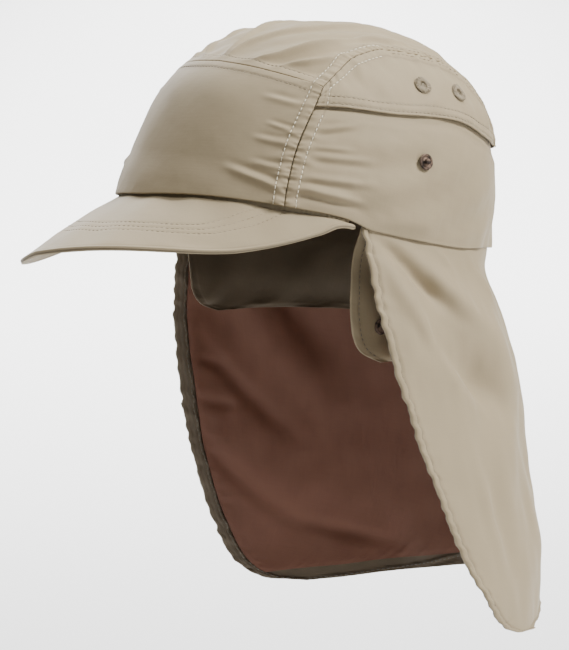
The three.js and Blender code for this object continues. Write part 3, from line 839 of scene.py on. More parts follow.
@dataclass(frozen=True)
class WovenFinish:
    """A plain-woven cloth, with its yarn, slubs, fine crinkle and a reverse of its own colour."""

    name: str
    face: Colour
    reverse: Colour
    yarn: float = 0.55 * MM
    roughness: float = 0.66
    sheen: float = 0.12
    crinkle: float = 0.18
    mottle: float = 0.045
    weave: float = 0.06
    slubs: tuple[tuple[float, float, float], ...] = ((900, 70, 1), (70, 900, 1))

    def material(self) -> bpy.types.Material:
        """Makes the material."""
        board = NodeBoard(self.name)
        cloth = board.add("ShaderNodeAttribute", attribute_name="cloth")
        split = board.add("ShaderNodeSeparateXYZ", {0: cloth.outputs["Vector"]})
        across, upward, layer = split.outputs
        turns = 2 * math.pi / self.yarn
        warp = board.math("SINE", board.math("MULTIPLY", across, turns))
        weft = board.math("SINE", board.math("MULTIPLY", upward, turns))
        weave = board.math("MULTIPLY", warp, weft)
        slub = board.math("ADD", *(self._slub(board, cloth, stretch) for stretch in self.slubs))
        place = board.place()
        mottle = board.noise(place, scale=38.0, detail=4.0)
        side = board.math("GREATER_THAN", layer, 0.5)
        base = board.mix(side, rgba(self.face), rgba(self.reverse))
        light = board.mix(side, rgba(self.face, 1 + 2 * self.mottle), rgba(self.reverse, 1.2))
        dark = board.mix(side, rgba(self.face, 1 - 2 * self.mottle), rgba(self.reverse, 0.8))
        spots = board.math("MULTIPLY_ADD", slub, 0.5, 0.5)
        amount = board.math("ADD", spots, board.math("MULTIPLY", mottle, 0.6))
        mottled = board.mix(board.math("SUBTRACT", amount, 0.3), dark, light)
        # The tone attribute scales the colour: painted shade along stitch rows, in eyelet holes and on the
        # peak's edge side, a painted highlight under that edge, and panels painted a little lighter.
        tone = board.add("ShaderNodeAttribute", attribute_name="tone").outputs["Fac"]
        gain = board.math("ADD", tone, 1.0)
        grey = board.add("ShaderNodeCombineXYZ", {0: gain, 1: gain, 2: gain}).outputs[0]
        colour = board.mix(0.5, base, mottled)
        wear_and_painted_shade = board.add("ShaderNodeVectorMath", {0: colour, 1: grey}, operation="MULTIPLY")
        board.join(wear_and_painted_shade.outputs[0], "Base Color")
        height = board.math("ADD", board.math("MULTIPLY", weave, self.weave), slub)
        fine = board.bump(strength=0.25, distance=0.12 * MM, height=height)
        crinkle = board.noise(place, scale=210.0, detail=3.0)
        board.join(board.bump(self.crinkle, 0.5 * MM, crinkle, fine), "Normal")
        board.set(Roughness=self.roughness, Sheen_Weight=self.sheen, Sheen_Roughness=0.4)
        board.set(Specular_IOR_Level=0.3)
        return board.material

    @staticmethod
    def _slub(board: NodeBoard, cloth: bpy.types.Node, stretch: Sequence[float]) -> bpy.types.NodeSocket:
        """Uneven yarns that run along one way of the weave."""
        stretched = {0: cloth.outputs["Vector"], 1: tuple(stretch)}
        run = board.add("ShaderNodeVectorMath", stretched, operation="MULTIPLY")
        return board.math("SUBTRACT", board.noise(run.outputs[0], scale=1.0, detail=2.0), 0.5)


@dataclass(frozen=True)
class ThreadFinish:
    """A twisted sewing thread."""

    name: str
    colour: Colour
    roughness: float = 0.55

    def material(self) -> bpy.types.Material:
        """Makes the material."""
        board = NodeBoard(self.name)
        twist = board.noise(board.place(), scale=2600.0, detail=1.0)
        board.join(board.mix(twist, rgba(self.colour, 0.8), rgba(self.colour, 1.15)), "Base Color")
        board.join(board.bump(strength=0.4, distance=0.1 * MM, height=twist), "Normal")
        board.set(Roughness=self.roughness, Sheen_Weight=0.2)
        return board.material


@dataclass(frozen=True)
class SnapFinish:
    """Antique copper plating, darker where it is worn and stained."""

    name: str
    bright: Colour
    stain: Colour

    def material(self) -> bpy.types.Material:
        """Makes the material."""
        board = NodeBoard(self.name)
        place = board.place()
        fine = board.noise(place, scale=1900.0, detail=3.0)
        stains = board.noise(place, scale=420.0, detail=5.0)
        limits = {"Value": stains, "From Min": 0.4, "From Max": 0.62}
        wear_and_painted_shade = board.add("ShaderNodeMapRange", limits).outputs[0]
        board.join(board.mix(wear_and_painted_shade, rgba(self.bright), rgba(self.stain)), "Base Color")
        board.join(board.math("MULTIPLY_ADD", fine, 0.35, 0.5), "Roughness")
        board.join(board.bump(strength=0.25, distance=0.08 * MM, height=fine), "Normal")
        board.set(Metallic=1.0)
        return board.material


@dataclass(frozen=True)
class FloorFinish:
    """A plain pale studio floor."""

    name: str
    colour: Colour

    def material(self) -> bpy.types.Material:
        """Makes the material."""
        board = NodeBoard(self.name)
        board.set(Base_Color=rgba(self.colour), Roughness=0.9, Specular_IOR_Level=0.1)
        return board.material


@dataclass(frozen=True)
class CapForm:
    """The measures that the cap's pieces share, and the smooth dome that its crown follows."""

    head_length: float = 202 * MM
    head_width: float = 167 * MM
    crown_height: float = 102.5 * MM
    crown_shift: float = 14 * MM
    rim_tilt: float = 10.0
    rim_rise: float = 6.3 * MM
    rim_skew: float = 3.6 * MM
    skew_end: float = 78.0
    cloth_wall: float = 1.2 * MM
    lining_wall: float = 1.0 * MM
    layer_gap: float = 0.35 * MM
    seam_gap: float = 0.4 * MM
    rim_tuck: float = 5 * MM
    near_hem: float = 0.8

    def point(self, toward: Grid) -> Grid:
        """The crown's outer surface in a direction."""
        x, y, z = np.moveaxis(toward, -1, 0)
        turn = np.arctan2(y, x)
        up = np.arctan2(z, np.hypot(x, y))
        ring = {name: CROWN_RINGS.read(name, np.degrees(up)) for name in CROWN_RINGS.columns[1:]}
        half_width = self.head_width / 2 * ring["width"]
        half_length = self.head_length / 2 * ring["length"]
        radius = np.cos(up) * ring_radius(turn, half_width, half_length, ring["squareness"])
        forward = radius * np.sin(turn)
        lean = np.tan(np.radians(self.rim_tilt * ring["tilt"]))
        height = self.crown_height * np.sin(up) - forward * lean
        return vectors(radius * np.cos(turn), self.crown_shift * ring["shift"] + forward, height)

    def normal(self, toward: Grid) -> Grid:
        """The outward normal of the crown in a direction."""
        step = 0.01
        at = unit(toward)
        steep = (np.abs(at[..., 0]) < 0.9)[..., None]
        aside = np.where(steep, np.array([1.0, 0, 0]), np.array([0, 1.0, 0]))
        a = unit(np.cross(aside, at))
        b = np.cross(at, a)
        along_a = self.point(at + a * step) - self.point(at - a * step)
        along_b = self.point(at + b * step) - self.point(at - b * step)
        return unit(np.cross(along_a, along_b))

    def over(self, toward: Grid, height: Grid | float) -> Grid:
        """A point at a height over the crown's outer surface."""
        return self.point(toward) + self.normal(toward) * np.asarray(height)[..., None]

    def degrees_up(self, length: Grid | float) -> Grid:
        """Degrees of latitude that a length covers along the crown."""
        return np.degrees(np.asarray(length) / self.crown_height)

    def rim(self, around: Grid) -> Grid:
        """The rim's latitude."""
        around = np.asarray(around, float)
        rise = self.rim_rise * RIM_LINE.read("rise", from_front(around))
        turn = np.clip(np.where(around > 180, around - 360, around), -self.skew_end, self.skew_end)
        return self.degrees_up(rise + self.rim_skew * np.sin(math.pi * turn / self.skew_end))

    def front_top(self, around: Grid) -> Grid:
        """The latitude of the seam between the front and top panels."""
        return FRONT_TOP_SEAM.read("latitude", from_front(around))

    def hem(self, around: Grid) -> Grid:
        """The latitude of the upper hem over the band."""
        return BAND_HEM.read("latitude", from_front(around))

    def seam_around(self, along: Grid) -> Grid:
        """The front seam's angle at a share of its height."""
        return FRONT_SEAM.read("around", np.asarray(along, float))

    def front_seam(self, along: Grid, side: int) -> Grid:
        """The direction of the front seam at a share of its height."""
        around = self.seam_around(along)
        return direction(side * around, blend(self.rim(around), self.front_top(around), along))

    def front_edge(self, across: Grid) -> Grid:
        """The direction of the top panel's front edge at a share across."""
        around = (2 * across - 1) * self.seam_around(1)
        return direction(around, self.front_top(around))

    def side_top(self, along: Grid, side: int) -> Grid:
        """The direction of the seam between the top panel and a side panel."""
        around = SIDE_TOP_SEAM.read("around", along)
        return direction(side * around, SIDE_TOP_SEAM.read("latitude", along))

    @property
    def hem_along(self) -> float:
        """The share of the front seam's height where the upper hem meets it."""
        around = self.seam_around(self.near_hem)
        low = self.rim(around)
        return float((self.hem(around) - low) / (self.front_top(around) - low))

    @property
    def back_angle(self) -> float:
        """The angle where the side seams reach the back hem."""
        return SIDE_TOP_SEAM.rows[-1][1]

    def place(self, piece: bpy.types.Object, slot: str, finish: bpy.types.Material, *nodes: str) -> None:
        """Gives a piece its finish, and puts it on the cap in place of solids."""
        piece.data.materials.clear()
        piece.data.materials.append(finish)
        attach(piece, "root")
        if nodes:
            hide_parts(*nodes)
        log.info("%s: %d faces", piece.name, len(piece.data.polygons))


def fill_edges(front: Callable, back: Callable, left: Callable, right: Callable) -> Callable:
    """Fills four edge curves with a smooth sheet of directions.

    Args:
        front: The lower edge, a function of a share across.
        back: The upper edge.
        left: The left edge, a function of a share up.
        right: The right edge.

    Returns:
        A function of a share across and a share up.
    """
    zero, one = np.float64(0), np.float64(1)
    corners = [front(zero), front(one), back(zero), back(one)]

    def sheet(u: Grid, v: Grid) -> Grid:
        """The direction at a share across and a share up."""
        u1, v1 = u[..., None], v[..., None]
        total = front(u) * (1 - v1) + back(u) * v1 + left(v) * (1 - u1) + right(v) * u1
        shares = [(1 - u1) * (1 - v1), u1 * (1 - v1), (1 - u1) * v1, u1 * v1]
        for corner, share in zip(corners, shares):
            total = total - corner * share
        return unit(total)

    return sheet


@dataclass(frozen=True)
class Fold:
    """A soft fold on the crown, between two places given by angle and latitude."""

    from_around: float
    from_latitude: float
    to_around: float
    to_latitude: float
    width: float
    height: float

    def relief(self, around: Grid, latitude: Grid, form: CapForm) -> Grid:
        """The fold's height at each place."""
        reach = form.head_width / 2
        x = np.radians(around - self.from_around) * reach
        y = np.radians(latitude - self.from_latitude) * form.crown_height
        run_x = math.radians(self.to_around - self.from_around) * reach
        run_y = math.radians(self.to_latitude - self.from_latitude) * form.crown_height
        length = math.hypot(run_x, run_y)
        along = (x * run_x + y * run_y) / length**2
        off = (y * run_x - x * run_y) / length
        fade = smooth_step(along, -0.15, 0.25) * (1 - smooth_step(along, 0.55, 1.2))
        shape = bell(off, self.width) - 0.6 * bell(off + 1.5 * self.width, self.width)
        return self.height * fade * shape


# Soft folds that leave the front seam on the wearer's left, on the front panel and on the band.
SEAM_FOLDS = (
    Fold(45.2, 8.8, 28, 12.6, 2.0 * MM, 0.95 * MM),
    Fold(45.2, 13.9, 35, 15.0, 1.6 * MM, 0.45 * MM),
    Fold(45.0, 21.4, 34, 22.4, 1.8 * MM, 0.6 * MM),
    Fold(45.2, 25.7, 37, 27.4, 1.5 * MM, 0.55 * MM),
    Fold(46.4, 34.6, 33, 37.0, 2.2 * MM, 0.5 * MM),
    Fold(50.8, 9.4, 73, 7.5, 2.1 * MM, 1.15 * MM),
    Fold(51.2, 12.6, 74, 12.6, 1.9 * MM, 0.7 * MM),
    Fold(52.6, 18.9, 74, 19.4, 2.0 * MM, 0.6 * MM),
    Fold(53.0, 21.6, 66, 21.9, 1.5 * MM, 0.4 * MM),
    Fold(53.2, 27.0, 66, 30.0, 2.0 * MM, 0.6 * MM),
)


@dataclass
class Crown:
    """The crown: front panel, top panel, two side panels and the pocket band."""

    form: CapForm
    cloth: bpy.types.Material
    seam_thread: bpy.types.Material
    tonal_thread: bpy.types.Material
    row_off: float = 5.4 * MM
    cross_row_off: float = 4.6 * MM
    hem_rows: tuple[float, float] = (1.7 * MM, 5.6 * MM)
    edge_radius: float = 0.45 * MM
    allowance: float = 6 * MM
    allowance_columns: int = 9
    front_allowance_steps: int = 60
    top_allowance_steps: int = 110
    allowance_wall: float = 0.6 * MM
    allowance_radius: float = 0.2 * MM
    band_top: float = 1.08
    band_tuck: float = 4.5 * MM
    side_end: float = 0.97
    fold_depth: float = 1.6
    far_share: float = 0.8
    far_rise: float = 1.2
    top_row: float = 2.4 * MM
    side_row: float = 2.6 * MM
    seam_calm: float = 9 * MM
    hole: float = 2.3 * MM
    # How dark the cloth is painted under each eyelet hole, as painted shade.
    painted_hole_shade: float = 0.97
    crease_height: float = 2.3 * MM
    crease_width: float = 1.7 * MM
    join_along: float = 0.355
    pucker: float = 1.0 * MM
    far_pucker: float = 0.55 * MM
    front_fade: tuple[float, float] = (1.1, 0.55)
    side_fade: tuple[float, float] = (0.5, 1.2)
    front_columns: Spacing = Spacing(0.55 * MM, 1.15 * MM, span=0.92)
    front_rows: Spacing = Spacing(0.55 * MM, 0.62 * MM, span=0.8)
    top_columns: Spacing = Spacing(0.55 * MM, 1.15 * MM, span=0.65)
    top_rows: Spacing = Spacing(0.55 * MM, 0.84 * MM, span=1.15)
    side_columns: Spacing = Spacing(0.55 * MM, 1.0 * MM, span=0.6)
    side_rows: Spacing = Spacing(0.55 * MM, 0.8 * MM, 8 * MM, 0.3)
    band_columns: Spacing = Spacing(0.55 * MM, 1.4 * MM, 14 * MM, 2)
    band_rows: Spacing = Spacing(0.6 * MM, 0.62 * MM, 8 * MM, 0.6)

    def __post_init__(self) -> None:
        """Starts the crown's two kinds of stitching."""
        self.seams = Stitching("crown_seam_stitches", Thread())
        self.tonal = Stitching("crown_tonal_stitches", Thread(thickness=0.5 * MM))
        self.mesh: dict[str, ClothMesh] = {}

    def build(self) -> None:
        """Builds the five panels, then their stitching."""
        self.front_panel()
        self.top_panel()
        for side in (1, -1):
            self.side_panel(side)
        self.pocket_band()
        self.form.place(self.seams.build(), "eyelet_thread", self.seam_thread)
        self.form.place(self.tonal.build(), "eyelet_thread", self.tonal_thread)

    def sheet(self, toward: Callable, columns: Grid, rows: Grid, sink: Optional[Callable] = None) -> Sheet:
        """A panel's smooth sheet over the dome.

        Args:
            toward: The direction at a share across and a share up.
            columns: The shares across.
            rows: The shares up.
            sink: How far under the dome the sheet lies, or None where it lies on it.

        Returns:
            The sheet.
        """
        u, v = np.meshgrid(columns, rows)
        toward_all = toward(u, v)
        out = self.form.normal(toward_all)
        points = self.form.point(toward_all)
        if sink:
            points = points - out * sink(u, v)[..., None]
        return Sheet(points, out)

    def lines(self, spacing: Spacing, size: float) -> Grid:
        """A panel's rows or columns as shares, drawn in from both ends by half the seam gap."""
        return blend(spacing.shares(size), 0.5, self.form.seam_gap / spacing.length(size))

    def sewn(self, edge: Edge, seam: Seam, height: float, backward: bool = False) -> SewnEdge:
        """How a panel's edge at a long seam is sewn."""
        fade = self.front_fade if seam in (Seam.FRONT_RIGHT, Seam.FRONT_LEFT) else self.side_fade
        return SewnEdge(edge, (self.row_off,), seam_puckers(seam.value, height, *fade), backward)

    def finish_panel(
        self, name: str, sheet: Sheet, edges: Sequence[SewnEdge], relief: Grid, tone: Grid | float = 0.0
    ) -> Grid:
        """Builds one panel's cloth and puts it in place of its solid.

        Args:
            name: The solid's name.
            sheet: The panel's smooth sheet.
            edges: How the panel's edges are sewn.
            relief: The height over the sheet, with the edges' own.
            tone: How much lighter the cloth is.

        Returns:
            The outer face's points.
        """
        mesh = self.panel_mesh(name)
        # Each stitch row adds painted shadow along its needle line to the panel's tone.
        tone_and_painted_shade = tone + sum(painted_row_shadow(sheet.off(edge.edge), row) for edge in edges for row in edge.rows)
        surface = add_panel(mesh, sheet, relief, self.form.cloth_wall, self.edge_radius, tone_and_painted_shade)
        self.form.place(mesh.build(), "crown_cloth", self.cloth, name)
        return surface

    def panel_mesh(self, name: str) -> ClothMesh:
        """The mesh that a panel and the allowances behind it share."""
        return self.mesh.setdefault(name, ClothMesh(f"{name}_cloth"))

    def add_allowance(self, name: str, path: Grid) -> None:
        """Adds the pressed-open seam allowance behind a seam, inside the crown.

        Args:
            name: The panel that the allowance belongs to.
            path: Directions along the seam.
        """
        out = self.form.normal(path)
        middle = self.form.point(path)
        aside = unit(np.cross(out, np.gradient(middle, axis=0)))
        offsets = np.linspace(-self.allowance, self.allowance, self.allowance_columns)
        depth = self.form.cloth_wall + self.form.layer_gap
        points = middle[:, None] + aside[:, None] * offsets[None, :, None] - out[:, None] * depth
        sheet = Sheet(points, np.broadcast_to(out[:, None], points.shape))
        waves = Crumple(5, 9 * MM, 0.08 * MM).over(sheet)
        add_panel(self.panel_mesh(name), sheet, waves, self.allowance_wall, self.allowance_radius, flip=True)

    def folds(self, around: Grid, latitude: Grid) -> Grid:
        """The soft folds beside both front seams."""
        signed = np.where(around > 180, around - 360, around)
        total = np.zeros(signed.shape)
        for fold in SEAM_FOLDS:
            total += fold.relief(signed, latitude, self.form)
            total += self.far_share * fold.relief(-signed, latitude + self.far_rise, self.form)
        return total * self.fold_depth * smooth_step(latitude - self.form.rim(around), -2, 5)

    @staticmethod
    def angles(toward: Callable, columns: Grid, rows: Grid) -> tuple[Grid, Grid]:
        """The angle from the front and the latitude of each point of a sheet."""
        at = toward(*np.meshgrid(columns, rows))
        around = np.degrees(np.arctan2(at[..., 0], -at[..., 1]))
        return around, np.degrees(np.arcsin(np.clip(at[..., 2], -1, 1)))

    def front_panel(self) -> None:
        """The tall panel between the two front seams."""
        form = self.form
        columns = self.lines(self.front_columns, form.head_width)
        rows = self.lines(self.front_rows, form.crown_height)

        def toward(u: Grid, v: Grid) -> Grid:
            """The direction at a share across and a share up."""
            around = (2 * u - 1) * form.seam_around(v)
            return direction(around, blend(form.rim(around), form.front_top(around), v))

        sheet = self.sheet(toward, columns, rows)
        around, latitude = self.angles(toward, columns, rows)
        edges = [
            self.sewn(Edge.LEFT, Seam.FRONT_RIGHT, self.far_pucker),
            self.sewn(Edge.RIGHT, Seam.FRONT_LEFT, self.pucker),
            SewnEdge(Edge.HIGH, (self.cross_row_off,), (Puckers(13, 0.2 * MM, reach=5 * MM),)),
            SewnEdge(Edge.LOW, (), (Puckers(14, 0.2 * MM, 8 * MM, reach=5 * MM),)),
        ]
        relief = sum(edge.relief(sheet) for edge in edges) + self.folds(around, latitude)
        relief += self.soften(sheet, 21, 0.12 * MM)
        self.add_allowances("front_panel")
        surface = self.finish_panel("front_panel", sheet, edges, relief)
        for edge in (Edge.LEFT, Edge.RIGHT):
            self.seams.sew_beside(sheet, surface, edge, self.row_off)
        self.tonal.sew_beside(sheet, surface, Edge.HIGH, self.cross_row_off, (0.04, 0.96))

    def add_allowances(self, name: str) -> None:
        """The allowances behind the front panel's seams."""
        shares = np.linspace(0.02, 0.98, self.front_allowance_steps)
        for side in (1, -1):
            self.add_allowance(name, self.form.front_seam(shares, side))
        self.add_allowance(name, self.form.front_edge(shares))

    def soften(self, sheet: Sheet, seed: int, height: float = 0.4 * MM) -> Grid:
        """Slow and quick waves that keep a panel from looking pressed."""
        slow = Crumple(seed, 34 * MM, height).over(sheet)
        quick = Crumple(seed + 1, 11 * MM, 0.1 * height).over(sheet)
        return (slow + quick) * smooth_step(sheet.near(), 0, self.seam_calm)

    def top_panel(self) -> None:
        """The strip over the crown, from the front panel to the back hem."""
        form = self.form
        columns = self.lines(self.top_columns, form.head_width)
        rows = self.lines(self.top_rows, form.head_length)

        def back(u: Grid) -> Grid:
            """The back edge, at the hem."""
            around = 180 - (2 * u - 1) * (180 - form.back_angle)
            return direction(around, form.hem(around))

        right, left = (partial(form.side_top, side=side) for side in (-1, 1))
        toward = fill_edges(form.front_edge, back, right, left)
        sheet = self.sheet(toward, columns, rows)
        edges = [
            self.sewn(Edge.LEFT, Seam.SIDE_RIGHT, self.pucker),
            self.sewn(Edge.RIGHT, Seam.SIDE_LEFT, self.pucker),
            SewnEdge(Edge.LOW, (self.cross_row_off,), (Puckers(33, 0.25 * MM, 5 * MM, reach=6 * MM),)),
            SewnEdge(Edge.HIGH, self.hem_rows, (Puckers(34, 0.3 * MM),)),
        ]
        relief = sum(edge.relief(sheet) for edge in edges) + self.creases(sheet)
        relief += self.soften(sheet, 35)
        shares = np.linspace(0.02, 0.97, self.top_allowance_steps)
        for side in (1, -1):
            self.add_allowance("top_panel", form.side_top(shares, side))
        # The top panel is painted 6% lighter, painted light standing in for the light on the upward-facing
        # top.
        surface = self.finish_panel("top_panel", sheet, edges, relief, 0.06)
        along = sheet.along(Edge.RIGHT)[:, -1] / sheet.along(Edge.RIGHT)[-1, -1]
        narrowing = blend(self.row_off, self.top_row, smooth_step(along, 0.2, self.join_along))
        for edge in (Edge.LEFT, Edge.RIGHT):
            self.seams.sew_beside(sheet, surface, edge, narrowing, (0, self.join_along))
            self.tonal.sew_beside(sheet, surface, edge, self.top_row, (self.join_along, 0.98))
        self.tonal.sew_beside(sheet, surface, Edge.LOW, self.cross_row_off, (0.05, 0.95))
        for off in self.hem_rows:
            self.tonal.sew_beside(sheet, surface, Edge.HIGH, off, (0.03, 0.97))

    def creases(self, sheet: Sheet) -> Grid:
        """Narrow lengthwise ridges with soft hollows between them."""
        half_width, half_length = self.form.head_width / 2, self.form.head_length / 2
        x, y = sheet.points[..., 0], sheet.points[..., 1]
        back = y / half_length
        total = np.zeros(x.shape)
        for side, spread in ((1, 1.0), (-1, 0.93)):
            height = self.crease_height * TOP_CREASES.read("height", back)
            for name in ("inner", "middle", "outer"):
                place = side * spread * TOP_CREASES.read(name, back) * half_width
                off = (x - place) / self.crease_width
                total += height * (bell(off, 1) - 0.45 * bell(off - side * 3.2, 2.6))
        return total * smooth_step(sheet.near(), 1 * MM, self.seam_calm)

    def side_panel(self, side: int) -> None:
        """An upper side panel, with painted shade in place of its two eyelet holes.

        Args:
            side: 1 on the wearer's left and -1 on the right.
        """
        form = self.form
        name = "side_panel_left" if side > 0 else "side_panel_right"
        front_angle = form.seam_around(form.hem_along)
        end_angle = blend(front_angle, form.back_angle, self.side_end)

        def hem(u: Grid) -> Grid:
            """The lower edge, at the hem."""
            around = blend(front_angle, end_angle, u)
            return direction(side * around, form.hem(around))

        def seam(u: Grid) -> Grid:
            """The upper edge, at the top panel's seam."""
            return form.side_top(u * self.side_end, side)

        def front(v: Grid) -> Grid:
            """The front edge, along the front seam."""
            return form.front_seam(blend(form.hem_along, 1.0, v), side)

        def back(v: Grid) -> Grid:
            """The short back edge."""
            return blend(hem(np.float64(1)), seam(np.float64(1)), v[..., None])

        filled = fill_edges(hem, seam, front, back)
        toward = filled if side > 0 else lambda u, v: filled(1 - u, v)
        columns = self.lines(self.side_columns, form.head_length)
        rows = self.lines(self.side_rows, form.crown_height)
        sheet = self.sheet(toward, columns, rows)
        near = Edge.LEFT if side > 0 else Edge.RIGHT
        seam_above = Seam.SIDE_LEFT if side > 0 else Seam.SIDE_RIGHT
        edges = [
            SewnEdge(near, (self.row_off,), (Puckers(42, 0.25 * MM),)),
            self.sewn(Edge.HIGH, seam_above, self.pucker, side < 0),
            SewnEdge(Edge.LOW, self.hem_rows, (Puckers(43, 0.25 * MM, 6 * MM),)),
        ]
        relief = sum(edge.relief(sheet) for edge in edges) + self.soften(sheet, 44 + side)
        relief += self.lifted_hem(sheet)
        # The cloth is painted 2% lighter, and painted near-black in a disc under each eyelet hole, as painted
        # shade where the hole would show the dark inside.
        tone = np.full(relief.shape, 0.02)
        for _, at, up in EYELETS:
            place = form.point(direction(side * at, up))
            tone -= self.painted_hole_shade * (np.linalg.norm(sheet.points - place, axis=-1) < self.hole)
        surface = self.finish_panel(name, sheet, edges, relief, tone)
        in_front, behind = ((0.04, 0.36), (0.38, 0.95)) if side > 0 else ((0.64, 0.96), (0.05, 0.62))
        self.seams.sew_beside(sheet, surface, near, self.row_off, (0.05, 0.75))
        self.seams.sew_beside(sheet, surface, Edge.HIGH, self.row_off, in_front)
        self.tonal.sew_beside(sheet, surface, Edge.HIGH, self.side_row, behind)
        for off in self.hem_rows:
            self.tonal.sew_beside(sheet, surface, Edge.LOW, off, (0.05, 0.97))

    @staticmethod
    def lifted_hem(sheet: Sheet) -> Grid:
        """The hem's edge, which stands a little off the band in slow waves."""
        wave = Crumple(47, 26 * MM, 0.3 * MM).relief(sheet.off(Edge.LEFT), 0.0 * sheet.off(Edge.LOW))
        return (0.35 * MM + wave) * bell(sheet.off(Edge.LOW), 4 * MM)

    def pocket_band(self) -> None:
        """The band round the sides and back, whose top edge is tucked under the hem."""
        form = self.form
        columns = self.lines(self.band_columns, form.head_length)
        rows = self.lines(self.band_rows, form.crown_height)
        top_along = form.hem_along * self.band_top
        tuck = form.degrees_up(self.band_tuck)

        def angle(u: Grid, v: Grid) -> Grid:
            """The angle from the front."""
            return 180 - (2 * u - 1) * (form.seam_around(v * top_along) - 180)

        def toward(u: Grid, v: Grid) -> Grid:
            """The direction at a share across and a share up."""
            around = angle(u, v)
            return direction(around, blend(form.rim(around), form.hem(around) + tuck, v))

        def sink(u: Grid, v: Grid) -> Grid:
            """How far the band lies under the dome, as it slips under the hem."""
            around = angle(u, v)
            span = form.hem(around) + tuck - form.rim(around)
            under_hem = np.radians((v - 1) * span + tuck) * form.crown_height
            return (form.cloth_wall + form.layer_gap) * smooth_step(under_hem, -9 * MM, -0.6 * MM)

        sheet = self.sheet(toward, columns, rows, sink)
        around, latitude = self.angles(toward, columns, rows)
        edges = [
            self.sewn(Edge.LEFT, Seam.FRONT_LEFT, self.pucker),
            self.sewn(Edge.RIGHT, Seam.FRONT_RIGHT, self.pucker),
        ]
        relief = sum(edge.relief(sheet) for edge in edges) + self.folds(around, latitude)
        relief += self.soften(sheet, 53) + self.rim_waves(sheet)
        relief *= 1 - smooth_step(-sheet.off(Edge.HIGH), -(self.band_tuck + 3 * MM), -self.band_tuck)
        surface = self.finish_panel("pocket_band", sheet, edges, relief)
        for edge in (Edge.LEFT, Edge.RIGHT):
            self.seams.sew_beside(sheet, surface, edge, self.row_off, (0, 0.89))

    @staticmethod
    def rim_waves(sheet: Sheet) -> Grid:
        """Small waves at the rim behind, where the flap's weight pulls on it."""
        low, left = sheet.off(Edge.LOW), sheet.off(Edge.LEFT)
        waves = Crumple(57, 22 * MM, 0.7 * MM).relief(left, low * 0.3)
        behind = smooth_step(left, 0.09, 0.15) * smooth_step(sheet.off(Edge.RIGHT), 0.09, 0.15)
        return waves * bell(low, 14 * MM) * (0.25 + 0.75 * behind)


